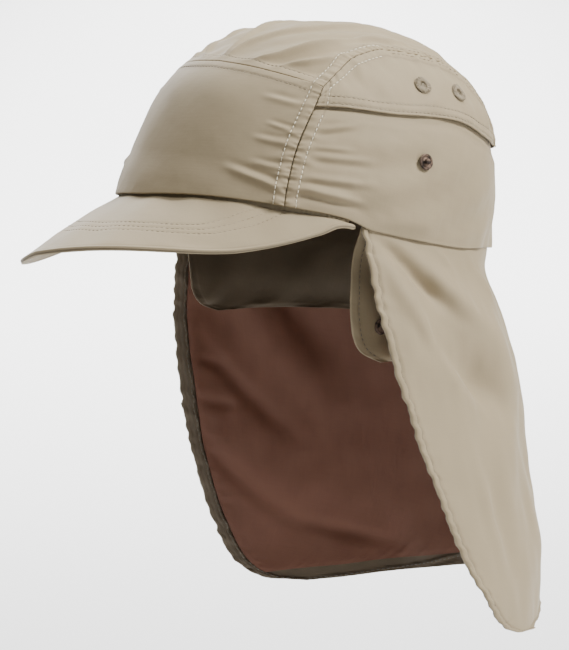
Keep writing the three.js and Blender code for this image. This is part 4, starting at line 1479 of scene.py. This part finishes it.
@dataclass
class Peak:
    """The curved, stitched peak."""

    form: CapForm
    cloth: bpy.types.Material
    thread: bpy.types.Material
    reach: float = 62.5 * MM
    width: float = 164 * MM
    wall: float = 2.6 * MM
    seat: float = 1.1 * MM
    end_setback: float = 2 * MM
    twist: float = 13.0
    bulge: float = 0.4 * MM
    columns: Spacing = Spacing(0.7 * MM, 1.1 * MM, span=1.25)
    lines: Spacing = Spacing(0.6 * MM, 1.0 * MM, 8 * MM)
    edge_radius: float = 0.6 * MM
    pitch: float = 2.6 * MM
    groove: float = 0.42 * MM
    groove_width: float = 0.6 * MM
    bound_off: float = 2.4 * MM
    bound_width: float = 0.7 * MM
    bound_groove: float = 0.2 * MM
    edge_drop: float = 10 * MM
    end_angle: float = 70.0
    end_blend: float = 0.9
    rows: tuple[tuple[float, float], ...] = ((0.585, 0.46), (0.65, 0.54), (0.715, 0.615))
    # Rows down the peak's edge side: a share of the way down, how far out in millimetres, and a tone. The
    # darker tones are painted shade on the edge side, and the 0.08 is a painted highlight along its lower
    # corner.
    edge_rows: tuple[tuple[float, float, float], ...] = (
        (0.1, 0.22, -0.1), (0.22, 0.3, -0.42), (0.45, 0.32, -0.45),
        (0.66, 0.32, -0.42), (0.78, 0.5, 0.0), (0.9, 0.55, 0.08), (0.98, 0.35, 0.0),
    )

    def root(self, around: Grid, up: Grid | float) -> Grid:
        """The peak's inner line, inside the crown or at the rim's edge."""
        latitude = self.form.rim(around) + self.form.degrees_up(up)
        inset = self.form.cloth_wall + 2 * self.form.layer_gap
        return self.form.over(direction(around, latitude), -inset)

    def rim(self, across: Grid, root: Grid) -> Grid:
        """The peak's outer edge, by a share from -1 to 1."""
        form = self.form
        end = form.point(direction(self.end_angle, form.rim(self.end_angle)))
        tip = form.point(direction(0, form.rim(0)))[1] - self.reach
        turn = across * math.pi / 2
        drop = self.edge_drop * PEAK_EDGE.read("drop", np.abs(across))
        ending = smooth_step(np.abs(across), self.end_blend, 1)
        back = end[1] + self.end_setback
        height = blend(-drop, root[..., 2] - self.seat, ending)
        return vectors(self.width / 2 * np.sin(turn), back + (tip - back) * np.cos(turn), height)

    def top(self, across: Grid, out: Grid) -> Grid:
        """The peak's upper face, from the rim out to its edge."""
        root = self.root(across * self.end_angle, -self.seat)
        edge = self.rim(across, root)
        point = blend(root, edge, out[..., None])
        reach = np.linalg.norm(edge - root, axis=-1)
        lift = self.bulge * np.sin(math.pi * out) * np.clip(reach / self.reach, 0, 1)
        forward = np.clip((root[..., 1] - point[..., 1]) / self.reach, 0, 1)
        lift = lift + math.tan(math.radians(self.twist)) * point[..., 0] * forward**2
        return point + vectors(0.0, 0.0, lift)

    def upper(self, across: Grid, out: Grid) -> Grid:
        """The upper face, with its tucked root where out is below 0."""
        tucked = self.root(across * self.end_angle, np.maximum(-out, 0) * self.form.rim_tuck)
        return np.where((out < 0)[..., None], tucked, self.top(across, np.maximum(out, 0)))

    def build(self) -> None:
        """Builds the peak's cloth and its three rows of stitches."""
        fan = 1 - 2 * self.columns.shares(self.width)
        reach = self.lines.shares(self.reach)
        across, out = np.meshgrid(fan, np.concatenate([[-1, -0.5], reach]))
        points = self.upper(across, out)
        step = 0.012
        run = self.upper(np.minimum(across + step, 1), out) - self.upper(np.maximum(across - step, -1), out)
        reach_out = self.top(across, np.clip(out + step, 0, 1)) - self.top(across, np.clip(out - step, 0, 1))
        inward = unit(np.cross(reach_out, run))
        level = unit(np.cross(self.top(across, np.full_like(out, step)) - self.top(across, out * 0), run))
        normal = np.where((out <= 0)[..., None], level, inward)
        sheet = Sheet(points, np.where(normal[..., 2:] < 0, -normal, normal))
        crossings = [self.crossing(sheet, across, out, row) for row in self.rows]
        relief = self.relief(sheet, crossings)
        drop = rounding(sheet.near(LOOSE_EDGES), self.edge_radius)
        surface = sheet.points + sheet.out * (relief - drop)[..., None]
        under = sheet.points - sheet.out * (self.wall + 0.2 * relief - drop)[..., None]
        piece = self.shell(sheet, surface, under)
        self.form.place(piece, "peak_cloth", self.cloth, "peak")
        stitches = Stitching("peak_stitches", Thread(thickness=0.5 * MM, pitch=self.pitch))
        for (end, _), crossing in zip(self.rows, crossings):
            line = StitchLine.beside(sheet, surface, Edge.LOW, crossing)
            stitches.sew(line.where(np.abs(across[0]) < end * 0.985))
        self.form.place(stitches.build(), "eyelet_thread", self.thread)

    def shell(self, sheet: Sheet, surface: Grid, under: Grid) -> bpy.types.Object:
        """Joins the upper and under faces round the peak's stiff edge.

        Args:
            sheet: The smooth upper sheet.
            surface: The upper face's points.
            under: The under face's points.

        Returns:
            The peak's mesh.
        """
        outward = unit(sheet.points[-1] - sheet.points[-4])
        rim, floor = surface[-1], under[-1]
        side = [blend(rim, floor, deep) + outward * out * MM for deep, out, _ in self.edge_rows]
        count = len(side)
        turn = [blend(floor, side[-1], (k + 1) / (count + 1)) for k in range(count)]
        lengths = sheet.lengths()
        # The edge rows' tones paint shade on the edge side and a highlight along its lower corner.
        painted_shade_and_highlight = [np.zeros(len(surface))] + [np.array([tone]) for _, _, tone in self.edge_rows]
        mesh = ClothMesh("peak_cloth")
        mesh.add_wall(
            np.concatenate([surface, side]),
            np.concatenate([under, turn]),
            np.concatenate([lengths, np.repeat(lengths[-1:], count, axis=0)]),
            np.concatenate(painted_shade_and_highlight)[:, None],
        )
        return mesh.build()

    def crossing(self, sheet: Sheet, across: Grid, out: Grid, row: tuple[float, float]) -> Grid:
        """How far up each column of the peak one stitch row crosses it.

        Args:
            sheet: The peak's smooth upper sheet.
            across: Each point's share across.
            out: Each point's share out.
            row: The row's shares across and out.

        Returns:
            Metres from the tucked edge, one for each column.
        """
        end, height = row
        wanted = height * PEAK_ROW.read("out", np.abs(across[0]) / end)
        low = sheet.off(Edge.LOW)
        return np.array([np.interp(wanted[c], out[:, c], low[:, c]) for c in range(len(wanted))])

    def relief(self, sheet: Sheet, crossings: Sequence[Grid]) -> Grid:
        """The stitch rows' grooves, the bound edge and soft waves.

        Args:
            sheet: The peak's smooth upper sheet.
            crossings: How far up each column each stitch row crosses it.

        Returns:
            The height at each point.
        """
        off = sheet.off(Edge.HIGH)
        total = Crumple(61, 40 * MM, 0.25 * MM).over(sheet)
        total *= smooth_step(off, 0, 9 * MM)
        left = sheet.off(Edge.LEFT)
        needle = 0.7 + 0.4 * np.cos(2 * math.pi * left / self.pitch)
        for crossing in crossings:
            slope = np.gradient(crossing) / np.maximum(np.gradient(left[len(off) // 2]), 1e-6)
            away = (sheet.off(Edge.LOW) - crossing) / np.sqrt(1 + slope * slope)
            total -= self.groove * needle * bell(away, self.groove_width)
        return total - self.bound_groove * bell(off - self.bound_off, self.bound_width)


@dataclass(frozen=True)
class FlapFold:
    """A fold of the neck flap, between two places given by angle and share down."""

    from_around: float
    from_down: float
    to_around: float
    to_down: float
    width: float
    height: float
    sides: tuple[int, ...] = (1, -1)


# The neck flap's main folds. Width is in shares of the flap's length, and height in metres.
MAIN_FOLDS = (
    FlapFold(84, -0.02, 132, 0.5, 0.05, -4.0 * MM),
    FlapFold(104, 0.02, 142, 0.46, 0.06, 3.2 * MM),
    FlapFold(150, 0.0, 153, 0.24, 0.03, -2.4 * MM),
    FlapFold(98, 0.56, 118, 1.1, 0.09, 2.8 * MM),
    FlapFold(165, 0.3, 158, 1.1, 0.08, -3.2 * MM),
)

# Softer folds, on the wearer's left (1) and right (-1).
SOFT_FOLDS = (
    FlapFold(80, 0.0, 110, 0.18, 0.022, -4.4 * MM, (1,)),
    FlapFold(90, 0.2, 128, 0.42, 0.034, -3.6 * MM, (1,)),
    FlapFold(83, 0.08, 104, 0.33, 0.022, 2.6 * MM, (1,)),
    FlapFold(94, 0.02, 124, 0.22, 0.025, 1.8 * MM, (1,)),
    FlapFold(104, -0.02, 112, 0.06, 0.012, 1.4 * MM, (1,)),
    FlapFold(124, 0.0, 132, 0.16, 0.012, 1.6 * MM, (1,)),
    FlapFold(112, 0.5, 121, 0.98, 0.024, -1.8 * MM, (1,)),
    FlapFold(106, 0.5, 113, 0.8, 0.02, 1.3 * MM, (1,)),
    FlapFold(128, 0.36, 140, 0.9, 0.034, 2.0 * MM, (1,)),
    FlapFold(92, 0.33, 124, 0.6, 0.022, 2.6 * MM, (-1,)),
    FlapFold(90, 0.37, 100, 0.4, 0.014, 1.4 * MM, (-1,)),
    FlapFold(92, 0.48, 106, 0.5, 0.014, 1.2 * MM, (-1,)),
    FlapFold(93, 0.57, 124, 0.84, 0.022, 2.4 * MM, (-1,)),
    FlapFold(122, 0.82, 150, 0.92, 0.02, 2.0 * MM, (-1,)),
    FlapFold(100, 0.05, 128, 0.4, 0.03, -1.5 * MM, (-1,)),
)


@dataclass
class Flap:
    """A cloth that hangs from the rim, with its front edges set by its sections."""

    form: CapForm
    cloth: bpy.types.Material

    sections: ClassVar[Table]
    length: ClassVar[float]

    @property
    def inset(self) -> float:
        """How far the cloth's root lies under the crown's outer surface."""
        raise NotImplementedError

    def spread(self, around: Grid, below: Grid) -> Grid:
        """How far the cloth stands out from under its root, at an angle and a share down."""
        raise NotImplementedError

    def hem_height(self, around: Grid) -> Grid:
        """The height of the hem."""
        raise NotImplementedError

    def sheet_point(self, around: Grid, down: Grid) -> Grid:
        """The smooth outer sheet, by the angle from the front and the share down."""
        form = self.form
        turn = np.radians(around - 90)
        up = np.maximum(-down, 0) * self.length
        below = np.maximum(down, 0)
        root = form.over(direction(around, form.rim(around) + form.degrees_up(up)), -self.inset)
        out = self.spread(around, below)
        height = blend(root[..., 2], self.hem_height(around), below)
        return vectors(root[..., 0] + out * np.cos(turn), root[..., 1] + out * np.sin(turn), height)

    def normal(self, around: Grid, down: Grid) -> Grid:
        """The way out of the sheet."""
        step, drop = 0.5, 0.01
        across = self.sheet_point(around + step, down) - self.sheet_point(around - step, down)
        along = self.sheet_point(around, down + drop) - self.sheet_point(around, down - drop)
        return -unit(np.cross(across, along))

    def sheet(self, columns: Grid, rows: Grid, depth: float = 0.0) -> tuple[Sheet, Grid, Grid]:
        """A sheet at a depth inside the flap, with the angle and share down of each point."""
        u, down = np.meshgrid(columns, rows)
        edge = self.sections.read("edge", np.maximum(down, 0))
        around = blend(edge, 360 - edge, u)
        out = self.normal(around, down)
        return Sheet(self.sheet_point(around, down) - out * depth, out), around, down

    def tucked_rows(self, tucked: Sequence[float], below: Grid) -> Grid:
        """The rows' shares down, with those tucked into the rim first, given as shares of its tuck."""
        return np.concatenate([-np.array(tucked) * self.form.rim_tuck / self.length, below])


@dataclass
class NeckFlap(Flap):
    """The long outer cloth with its turned hem, and the brown lining inside it."""

    sections = FLAP_SECTIONS
    length = 212 * MM

    lining: bpy.types.Material
    thread: bpy.types.Material
    dark_thread: bpy.types.Material
    lean: float = 4.5 * MM
    hem_rise: float = 22 * MM
    hem_round: float = 0.12
    hem_width: float = 7 * MM
    squareness: float = 2.05
    fold_start: float = 0.12
    soft_start: float = 0.035
    fold_end: float = 0.08
    lining_inset: float = 1.05 * MM
    side_hem: float = 3.8 * MM
    scallop: float = 0.45 * MM
    hem_lift: float = 0.5 * MM
    hem_ease: float = 0.8 * MM
    hem_ends: tuple[float, float] = (0.03, 0.97)
    inner_row: float = 1.2 * MM
    columns: Spacing = Spacing(0.7 * MM, 1.9 * MM, span=1.75)
    rows: Spacing = Spacing(0.8 * MM, 1.55 * MM)
    lining_columns: Spacing = Spacing(0.9 * MM, 2.1 * MM, 8 * MM, 1.75)
    lining_rows: Spacing = Spacing(0.9 * MM, 2.0 * MM, 8 * MM)
    hem_groove: float = 0.8 * MM
    groove_width: float = 0.7 * MM
    edge_radius: float = 1.2 * MM

    def hem_height(self, around: Grid) -> Grid:
        """The height of the flap's hem."""
        turn = np.radians(around - 90)
        rise = self.hem_rise * (1 - np.hypot(np.cos(turn), self.hem_round))
        return rise + self.lean * np.cos(turn) - self.length

    def folds(self, around: Grid, down: Grid, folds: Sequence[FlapFold], start: float) -> Grid:
        """The summed depth of a set of folds at a place, which fade out at the rim over a start."""
        spread = math.radians(1) * self.form.head_length / 2 / self.length
        total = np.zeros(np.broadcast(around, down).shape)
        for fold in folds:
            run_x = (fold.to_around - fold.from_around) * spread
            run_y = fold.to_down - fold.from_down
            x = (from_front(around) - fold.from_around) * spread
            y = down - fold.from_down
            along = np.clip((x * run_x + y * run_y) / (run_x**2 + run_y**2), 0, 1)
            off = np.hypot(x - run_x * along, y - run_y * along)
            fade = np.sin(math.pi * np.clip(along, self.fold_end, 1 - self.fold_end))
            here = np.isin(np.where(around > 180, -1, 1), fold.sides)
            total += here * fold.height * fade * bell(off, fold.width)
        return total * smooth_step(down, 0, start)

    @property
    def inset(self) -> float:
        """How far the flap's root lies under the crown's outer surface."""
        return self.form.cloth_wall + self.form.layer_gap

    def spread(self, around: Grid, below: Grid) -> Grid:
        """How far the flap stands out from under its root."""
        form = self.form

        def section(at: Grid) -> Grid:
            """The flap's radius at a share down."""
            half_width = form.head_width / 2 * FLAP_SECTIONS.read("side", at)
            half_length = form.head_length / 2 * FLAP_SECTIONS.read("back", at)
            return ring_radius(np.radians(around - 90), half_width, half_length, self.squareness)

        return section(below) - section(below * 0) + self.folds(around, below, MAIN_FOLDS, self.fold_start)

    def relief(self, around: Grid, down: Grid) -> Grid:
        """Small folds and waves that the cloth and its lining share."""
        x = np.radians(around) * self.form.head_length / 2
        y = down * self.length
        fade = smooth_step(down, 0.0, 0.1)
        slow = Crumple(71, 46 * MM, 0.8 * MM).relief(x, y * 0.5)
        quick = Crumple(72, 15 * MM, 0.16 * MM).relief(x, y * 0.6)
        return (slow + quick) * fade + self.folds(around, down, SOFT_FOLDS, self.soft_start)

    def scalloped(self, sheet: Sheet) -> Sheet:
        """The sheet with its front edges drawn in and out along their hems."""
        points = sheet.points.copy()
        tangent = unit(np.gradient(sheet.points, axis=1))
        for seed, edge, way in ((73, Edge.LEFT, -1), (74, Edge.RIGHT, 1)):
            along = sheet.along(edge)
            wave = Crumple(seed, 13 * MM, self.scallop, 0.6).relief(along, 0.3 * along)
            near = bell(sheet.off(edge), 5 * MM)
            points += tangent * (way * wave * near)[..., None]
            points += sheet.out * (0.7 * np.roll(wave, 5, axis=0) * near)[..., None]
        return Sheet(points, sheet.out)

    def build(self) -> None:
        """Builds the cloth, the lining and the hem's stitches."""
        form = self.form
        columns = self.columns.shares(form.head_length)
        rows = self.tucked_rows((1, 0.5), self.rows.shares(self.length))
        sheet, around, down = self.sheet(columns, rows)
        sheet = self.scalloped(sheet)
        relief = self.relief(around, down)
        hems = {Edge.LEFT: self.side_hem, Edge.RIGHT: self.side_hem, Edge.HIGH: self.hem_width}
        tone = np.zeros(relief.shape)
        for seed, (edge, hem) in enumerate(hems.items()):
            draw, lift = (1.1 * MM, 1.6) if edge is Edge.HIGH else (0.6 * MM, 1.0)
            puckers = Puckers(80 + seed, draw, 5.5 * MM, 1.6 * MM, 8 * MM, first=0.7)
            off = sheet.off(edge)
            relief = relief + puckers.relief(sheet.along(edge), off)
            relief = relief - self.hem_groove * bell(off - hem, self.groove_width)
            relief = relief + self.hem_lift * lift * (1 - smooth_step(off, hem, hem + self.hem_ease))
            # Painted shadow along each hem's stitch row.
            tone = tone + painted_row_shadow(off, hem, 0.3)
        near = sheet.near(hems)
        thick = form.cloth_wall + form.layer_gap + form.lining_wall
        hemmed = 1 - smooth_step(near, self.hem_width - 0.2 * MM, self.hem_width + 0.4 * MM)
        wall = blend(form.cloth_wall, thick, hemmed)
        mesh = ClothMesh("neck_flap_cloth")
        drop = rounding(near, self.edge_radius)
        surface, under = mesh.add_between(sheet, relief - drop, relief - wall + drop, tone)
        form.place(mesh.build(), "flap_cloth", self.cloth, "neck_flap")
        thread = Thread(thickness=0.42 * MM, pitch=3.0 * MM, stitch=2.1 * MM)
        outside = Stitching("flap_hem_stitches", thread)
        inside = Stitching("flap_inner_hem_stitches", thread)
        for edge, hem in hems.items():
            outside.sew_beside(sheet, surface, edge, hem, self.hem_ends)
            line = StitchLine.beside(sheet, under, edge, self.hem_width - self.inner_row)
            inside.sew(StitchLine(line.points, -line.out).between(*self.hem_ends))
        form.place(outside.build(), "eyelet_thread", self.thread)
        form.place(inside.build(), "eyelet_thread", self.dark_thread)
        self.build_lining()

    def build_lining(self) -> None:
        """Builds the lining between the turned hems."""
        form = self.form
        border = self.hem_width + self.lining_inset
        side, low = border / self.lining_columns.length(form.head_length), border / self.length
        columns = blend(side, 1 - side, self.lining_columns.shares(form.head_length))
        down = blend(0.0, 1 - low, self.lining_rows.shares(self.length))
        rows = self.tucked_rows((1,), down)
        sheet, around, share = self.sheet(columns, rows, self.inset)
        relief = self.relief(around, share)
        inner = relief - form.lining_wall
        for seed, edge in enumerate(LOOSE_EDGES):
            puckers = Puckers(90 + seed, 0.6 * MM, 6 * MM, 1.8 * MM, 10 * MM, at_seam=0.3)
            inner = inner - puckers.relief(sheet.along(edge), sheet.off(edge))
        mesh = ClothMesh("neck_flap_lining_cloth")
        mesh.add_between(sheet, relief, inner)
        form.place(mesh.build(), "flap_lining", self.lining, "neck_flap_lining")


@dataclass
class InnerFlap(Flap):
    """The short cover that hangs inside the long flap."""

    sections = INNER_SECTIONS
    length = 58.5 * MM

    thread: bpy.types.Material
    lean: float = 5.5 * MM
    draw: float = 5.5 * MM
    row_off: float = 5 * MM
    row_ends: tuple[float, float] = (0.08, 0.92)
    columns: Spacing = Spacing(0.7 * MM, 1.5 * MM, span=1.65)
    rows: Spacing = Spacing(0.7 * MM, 1.2 * MM)
    hem_lift: float = 0.3 * MM
    hem_ease: float = 1.2 * MM
    groove: float = 0.25 * MM
    groove_width: float = 0.5 * MM

    @property
    def inset(self) -> float:
        """How far the flap's root lies under the crown's outer surface."""
        return self.form.cloth_wall * 2 + self.form.lining_wall + self.form.layer_gap * 3.5

    def spread(self, around: Grid, below: Grid) -> Grid:
        """How far the flap stands out from under its root, below 0 as it is drawn in."""
        return -self.draw * INNER_SECTIONS.read("draw", below)

    def hem_height(self, around: Grid) -> Grid:
        """The height of the flap's hem."""
        return -self.length - self.lean * np.cos(np.radians(around - 90))

    def build(self) -> None:
        """Builds the flap and its row of stitches."""
        form = self.form
        columns = self.columns.shares(form.head_length)
        rows = self.tucked_rows((1, 0.5), self.rows.shares(self.length))
        sheet, _, down = self.sheet(columns, rows)
        relief = Crumple(95, 30 * MM, 0.5 * MM).over(sheet) * smooth_step(down, 0, 0.3)
        for seed, hem in enumerate(LOOSE_EDGES):
            puckers = Puckers(96 + seed, 0.5 * MM, 4.5 * MM, 1.3 * MM, 6 * MM)
            relief = relief + puckers.relief(sheet.along(hem), sheet.off(hem))
        near = sheet.near(LOOSE_EDGES)
        relief = relief + self.hem_lift * (1 - smooth_step(near, self.row_off, self.row_off + self.hem_ease))
        relief -= self.groove * bell(near - self.row_off, self.groove_width)
        drop = rounding(near, form.cloth_wall / 2)
        mesh = ClothMesh("inner_flap_cloth")
        surface, _ = mesh.add_between(sheet, relief - drop, relief - form.cloth_wall + drop)
        form.place(mesh.build(), "inner_flap_cloth", self.cloth, "inner_flap")
        stitches = Stitching("inner_flap_stitches", Thread(thickness=0.4 * MM))
        for hem in LOOSE_EDGES:
            stitches.sew_beside(sheet, surface, hem, self.row_off, self.row_ends)
        form.place(stitches.build(), "eyelet_thread", self.thread)


def ring_round(axis: Grid, angles: Grid) -> Grid:
    """Directions square to an axis, at angles round it."""
    side = unit(np.cross(axis, [0, 0, 1.0]))
    up = np.cross(side, axis)
    return np.cos(angles)[:, None] * side + np.sin(angles)[:, None] * up


@dataclass(frozen=True)
class Turned:
    """A turned fitting, from rows of radius and height along its half outline."""

    outline: tuple[tuple[float, float], ...]
    sides: int = 48

    def shell(self, place: Grid, axis: Grid) -> tuple[Grid, list[list[int]]]:
        """Points and faces of the fitting, standing at a place along an axis."""
        profile = self.smoothed()
        ring = ring_round(axis, full_turn(self.sides))
        radius, height = profile[:, 0], profile[:, 1]
        points = place + ring[None] * radius[:, None, None] + axis * height[:, None, None]
        index = np.arange(len(profile) * self.sides).reshape(len(profile), self.sides)
        ahead = np.roll(index, -1, axis=1)
        quads = np.stack([index[:-1], index[1:], ahead[1:], ahead[:-1]], axis=-1).reshape(-1, 4)
        caps = [index[0].tolist(), index[-1, ::-1].tolist()]
        return points.reshape(-1, 3), quads[:, ::-1].tolist() + [caps[0][::-1], caps[1][::-1]]

    def smoothed(self) -> Grid:
        """The outline with its corners eased by rows on both sides of each."""
        corners = np.array(self.outline)
        far, close = 0.18, 0.04
        eased = [corners[0]]
        for before, at, after in zip(corners[:-2], corners[1:-1], corners[2:]):
            eased += [blend(at, before, far), blend(at, before, close)]
            eased += [blend(at, after, close), blend(at, after, far)]
        return np.array(eased + [corners[-1]])


@dataclass
class Fittings:
    """The stitched eyelets and the copper snaps, on both sides of the cap."""

    form: CapForm
    inner_flap: InnerFlap
    metal: bpy.types.Material
    thread: bpy.types.Material
    snap_radius: float = 4.1 * MM
    post_radius: float = 1.5 * MM
    post_height: float = 2.6 * MM
    cap_height: float = 2.2 * MM
    plate: float = 0.8 * MM
    eyelet_radius: float = 4.9 * MM
    eyelet_hole: float = 1.9 * MM
    eyelet_height: float = 1.1 * MM
    eyelet_stitches: int = 34
    stud: tuple[float, float] = (93.6, 21.3)
    socket: tuple[float, float] = (86.5, 0.72)

    def build(self) -> None:
        """Builds the fittings of both sides."""
        for side, label in ((1, "left"), (-1, "right")):
            for name, around, latitude in EYELETS:
                self.eyelet(f"eyelet_{label}_{name}", direction(side * around, latitude))
            self.snap_stud(f"snap_stud_{label}", direction(side * self.stud[0], self.stud[1]))
            self.snap_socket(f"snap_socket_{label}", side)

    def eyelet(self, name: str, toward: Grid) -> None:
        """A ring of close radial stitches round a small hole."""
        place = self.form.over(toward, self.form.layer_gap)
        axis = self.form.normal(toward)
        hole, rim, height = self.eyelet_hole, self.eyelet_radius, self.eyelet_height
        outline = (
            (hole, 0.0), (hole, height * 0.4), (blend(hole, rim, 0.3), height * 0.62),
            (blend(hole, rim, 0.7), height * 0.55), (rim * 0.97, height * 0.1), (rim * 0.95, 0.0),
        )
        points, faces = Turned(outline).shell(place, axis)
        thread = Thread(thickness=0.52 * MM, sink=0.0)
        ring = Stitching(f"{name}_thread", thread)
        ring.add(points, faces)
        wobble = np.random.default_rng(7).uniform(-0.05, 0.05, self.eyelet_stitches)
        radial = ring_round(axis, full_turn(self.eyelet_stitches) + wobble)
        middle = place + radial * (hole + rim) / 2 + axis * height * 0.55
        ring.add(*thread.shell(middle, radial, np.broadcast_to(axis, radial.shape), (rim - hole) / 2))
        self.form.place(ring.build(), "eyelet_thread", self.thread, name)

    def snap_stud(self, name: str, toward: Grid) -> None:
        """A snap's plate with its round post."""
        radius, post, tall, plate = self.snap_radius, self.post_radius, self.post_height, self.plate
        outline = (
            (0.02 * MM, 0.0), (radius, 0.0), (radius, plate * 0.6), (radius * 0.9, plate),
            (radius * 0.74, plate * 0.95), (radius * 0.62, plate * 0.45), (post * 1.35, plate * 0.45),
            (post * 0.92, plate * 0.8), (post * 0.88, tall * 0.45), (post * 1.05, tall * 0.68),
            (post * 0.9, tall * 0.88), (post * 0.45, tall), (0.02 * MM, tall),
        )
        self.turned_snap(name, outline, self.form.over(toward, self.form.layer_gap), self.form.normal(toward))

    def snap_socket(self, name: str, side: int) -> None:
        """A snap's domed cap on the inner flap."""
        around = self.socket[0] if side > 0 else 360 - self.socket[0]
        around, down = np.float64(around), np.float64(self.socket[1])
        axis = self.inner_flap.normal(around, down)
        place = self.inner_flap.sheet_point(around, down) + axis * self.form.layer_gap
        radius, tall = self.snap_radius, self.cap_height
        outline = (
            (0.02 * MM, 0.0), (radius * 0.95, 0.0), (radius, tall * 0.3), (radius * 0.93, tall * 0.62),
            (radius * 0.78, tall * 0.8), (radius * 0.7, tall * 0.66), (radius * 0.6, tall * 0.72),
            (radius * 0.4, tall * 0.96), (radius * 0.15, tall), (0.02 * MM, tall),
        )
        self.turned_snap(name, outline, place, axis)

    def turned_snap(self, name: str, outline: tuple, place: Grid, axis: Grid) -> None:
        """Makes one turned metal piece in place of its solid."""
        points, faces = Turned(outline).shell(place, axis)
        piece = new_piece(f"{name}_metal", points, faces)
        self.form.place(piece, "snap_metal", self.metal, name)


@dataclass(frozen=True)
class Lamp:
    """A square soft light: where it stands from the rim's middle, by the camera's own ways, and its power."""

    name: str
    right: float
    up: float
    back: float
    size: float
    power: float
    spread: float


LAMPS = (
    Lamp("key_light", 1.4, 1.35, 0.75, 0.5, 7.3, 60),
    Lamp("front_light", -0.5, 1.6, 1.0, 0.6, 2.3, 60),
    Lamp("low_light", 2.0, -0.1, 1.1, 0.6, 1.3, 50),
    Lamp("behind_light", -0.7, 0.9, -1.6, 0.9, 3.6, 60),
)


@dataclass
class Studio:
    """The floor, the soft lights and the camera."""

    azimuth: float = 55.0
    elevation: float = 7.5
    distance: float = 2.0
    aim: tuple[float, float, float] = (0, 20 * MM, -40 * MM)
    aim_right: float = -11.05 * MM
    aim_up: float = -52.93 * MM
    focal_pixels: float = 3892.0
    picture_height: float = 650.0
    sensor: float = 36.0
    floor_height: float = -0.3
    floor_size: float = 30.0
    sweep_away: float = 5.4
    sweep_height: float = 1.8
    sweep_width: float = 2.4
    sweep_length: float = 9.4
    sweep_power: float = 480.0
    sweep_spread: float = 90.0
    sky_strength: float = 0.09

    def axes(self) -> tuple[Vector, Vector, Vector]:
        """The camera's right, up and back."""
        turn, tip = math.radians(self.azimuth), math.radians(self.elevation)
        back = Vector((math.sin(turn) * math.cos(tip), -math.cos(turn) * math.cos(tip), math.sin(tip)))
        right = Vector((math.cos(turn), math.sin(turn), 0))
        return right, back.cross(right), back

    def build(self) -> None:
        """Builds the camera, the lights and the floor."""
        self.camera()
        right, up, back = self.axes()
        aim = Vector(self.aim)
        for lamp in LAMPS:
            place = right * lamp.right + up * lamp.up + back * lamp.back
            self.light(lamp.name, place, aim, lamp.size, lamp.power, lamp.spread)
        level = Vector((-back.x, -back.y, 0)).normalized()
        above = level * self.sweep_away + Vector((0, 0, self.sweep_height))
        below = above - Vector((0, 0, 1))
        sweep = self.light("floor_light", above, below, self.sweep_width, self.sweep_power, self.sweep_spread)
        sweep.rotation_euler = (0, 0, math.radians(self.azimuth))
        sweep.data.shape = "RECTANGLE"
        sweep.data.size_y = self.sweep_length
        self.floor()
        self.sky()

    def camera(self) -> None:
        """Sets the camera at the photograph's viewing angle."""
        right, up, back = self.axes()
        data = bpy.data.cameras.new("cap_camera")
        data.sensor_fit = "VERTICAL"
        data.sensor_height = self.sensor
        data.lens = self.focal_pixels / self.picture_height * self.sensor
        data.clip_end = 100
        camera = bpy.data.objects.new("cap_camera", data)
        bpy.context.scene.collection.objects.link(camera)
        turn = Matrix((right, up, back)).transposed().to_4x4()
        place = back * self.distance + right * self.aim_right + up * self.aim_up
        camera.matrix_world = Matrix.Translation(place) @ turn
        bpy.context.scene.camera = camera

    def light(
        self, name: str, place: Vector, aim: Vector, size: float, power: float, spread: float
    ) -> bpy.types.Object:
        """Adds a large soft light.

        Args:
            name: The light's name.
            place: Where it stands, from the rim's middle.
            aim: What it faces.
            size: The side of its square face.
            power: Its power in watts.
            spread: How widely its grid lets the light fan out, in degrees.

        Returns:
            The light.
        """
        data = bpy.data.lights.new(name, "AREA")
        data.size = size
        data.energy = power
        data.spread = math.radians(spread)
        lamp = bpy.data.objects.new(name, data)
        bpy.context.scene.collection.objects.link(lamp)
        lamp.location = place
        lamp.rotation_euler = (place - aim).to_track_quat("Z", "Y").to_euler()
        return lamp

    def floor(self) -> None:
        """Adds the plain pale floor."""
        half = self.floor_size / 2
        corners = np.array([(-half, -half, 0), (half, -half, 0), (half, half, 0), (-half, half, 0)])
        floor = new_piece("floor", corners + [0, 0, self.floor_height], [[0, 1, 2, 3]])
        floor.data.materials.append(FloorFinish("pale_floor", (0.86, 0.86, 0.86)).material())

    def sky(self) -> None:
        """Gives the room an even white light."""
        world = bpy.data.worlds.new("white_room")
        world.use_nodes = True
        background = world.node_tree.nodes["Background"]
        background.inputs["Color"].default_value = (1, 1, 1, 1)
        background.inputs["Strength"].default_value = self.sky_strength
        bpy.context.scene.world = world


def main() -> None:
    """Builds the studio and the cap, and reports each piece."""
    logging.basicConfig(level=logging.INFO, format="%(message)s")
    form = CapForm()
    khaki: Colour = (0.345, 0.275, 0.17)
    olive: Colour = (0.1, 0.075, 0.047)
    chestnut: Colour = (0.135, 0.055, 0.032)
    shell = WovenFinish("khaki_nylon", khaki, olive).material()
    peak_shell = WovenFinish("peak_nylon", khaki, khaki, crinkle=0.2).material()
    brown = WovenFinish("brown_lining", chestnut, chestnut, sheen=0.05).material()
    cream = ThreadFinish("cream_thread", (0.78, 0.7, 0.52)).material()
    tonal = ThreadFinish("khaki_thread", (0.3, 0.24, 0.15)).material()
    dark = ThreadFinish("olive_thread", (0.1, 0.088, 0.065)).material()
    copper = SnapFinish("antique_copper", (0.2, 0.14, 0.105), (0.05, 0.04, 0.035)).material()
    Studio().build()
    Crown(form, shell, cream, tonal).build()
    Peak(form, peak_shell, tonal).build()
    NeckFlap(form, shell, brown, tonal, dark).build()
    inner_flap = InnerFlap(form, shell, dark)
    inner_flap.build()
    Fittings(form, inner_flap, copper, tonal).build()
    for cut in CUTS:
        cut.declare()


if __name__ == "__main__":
    main()
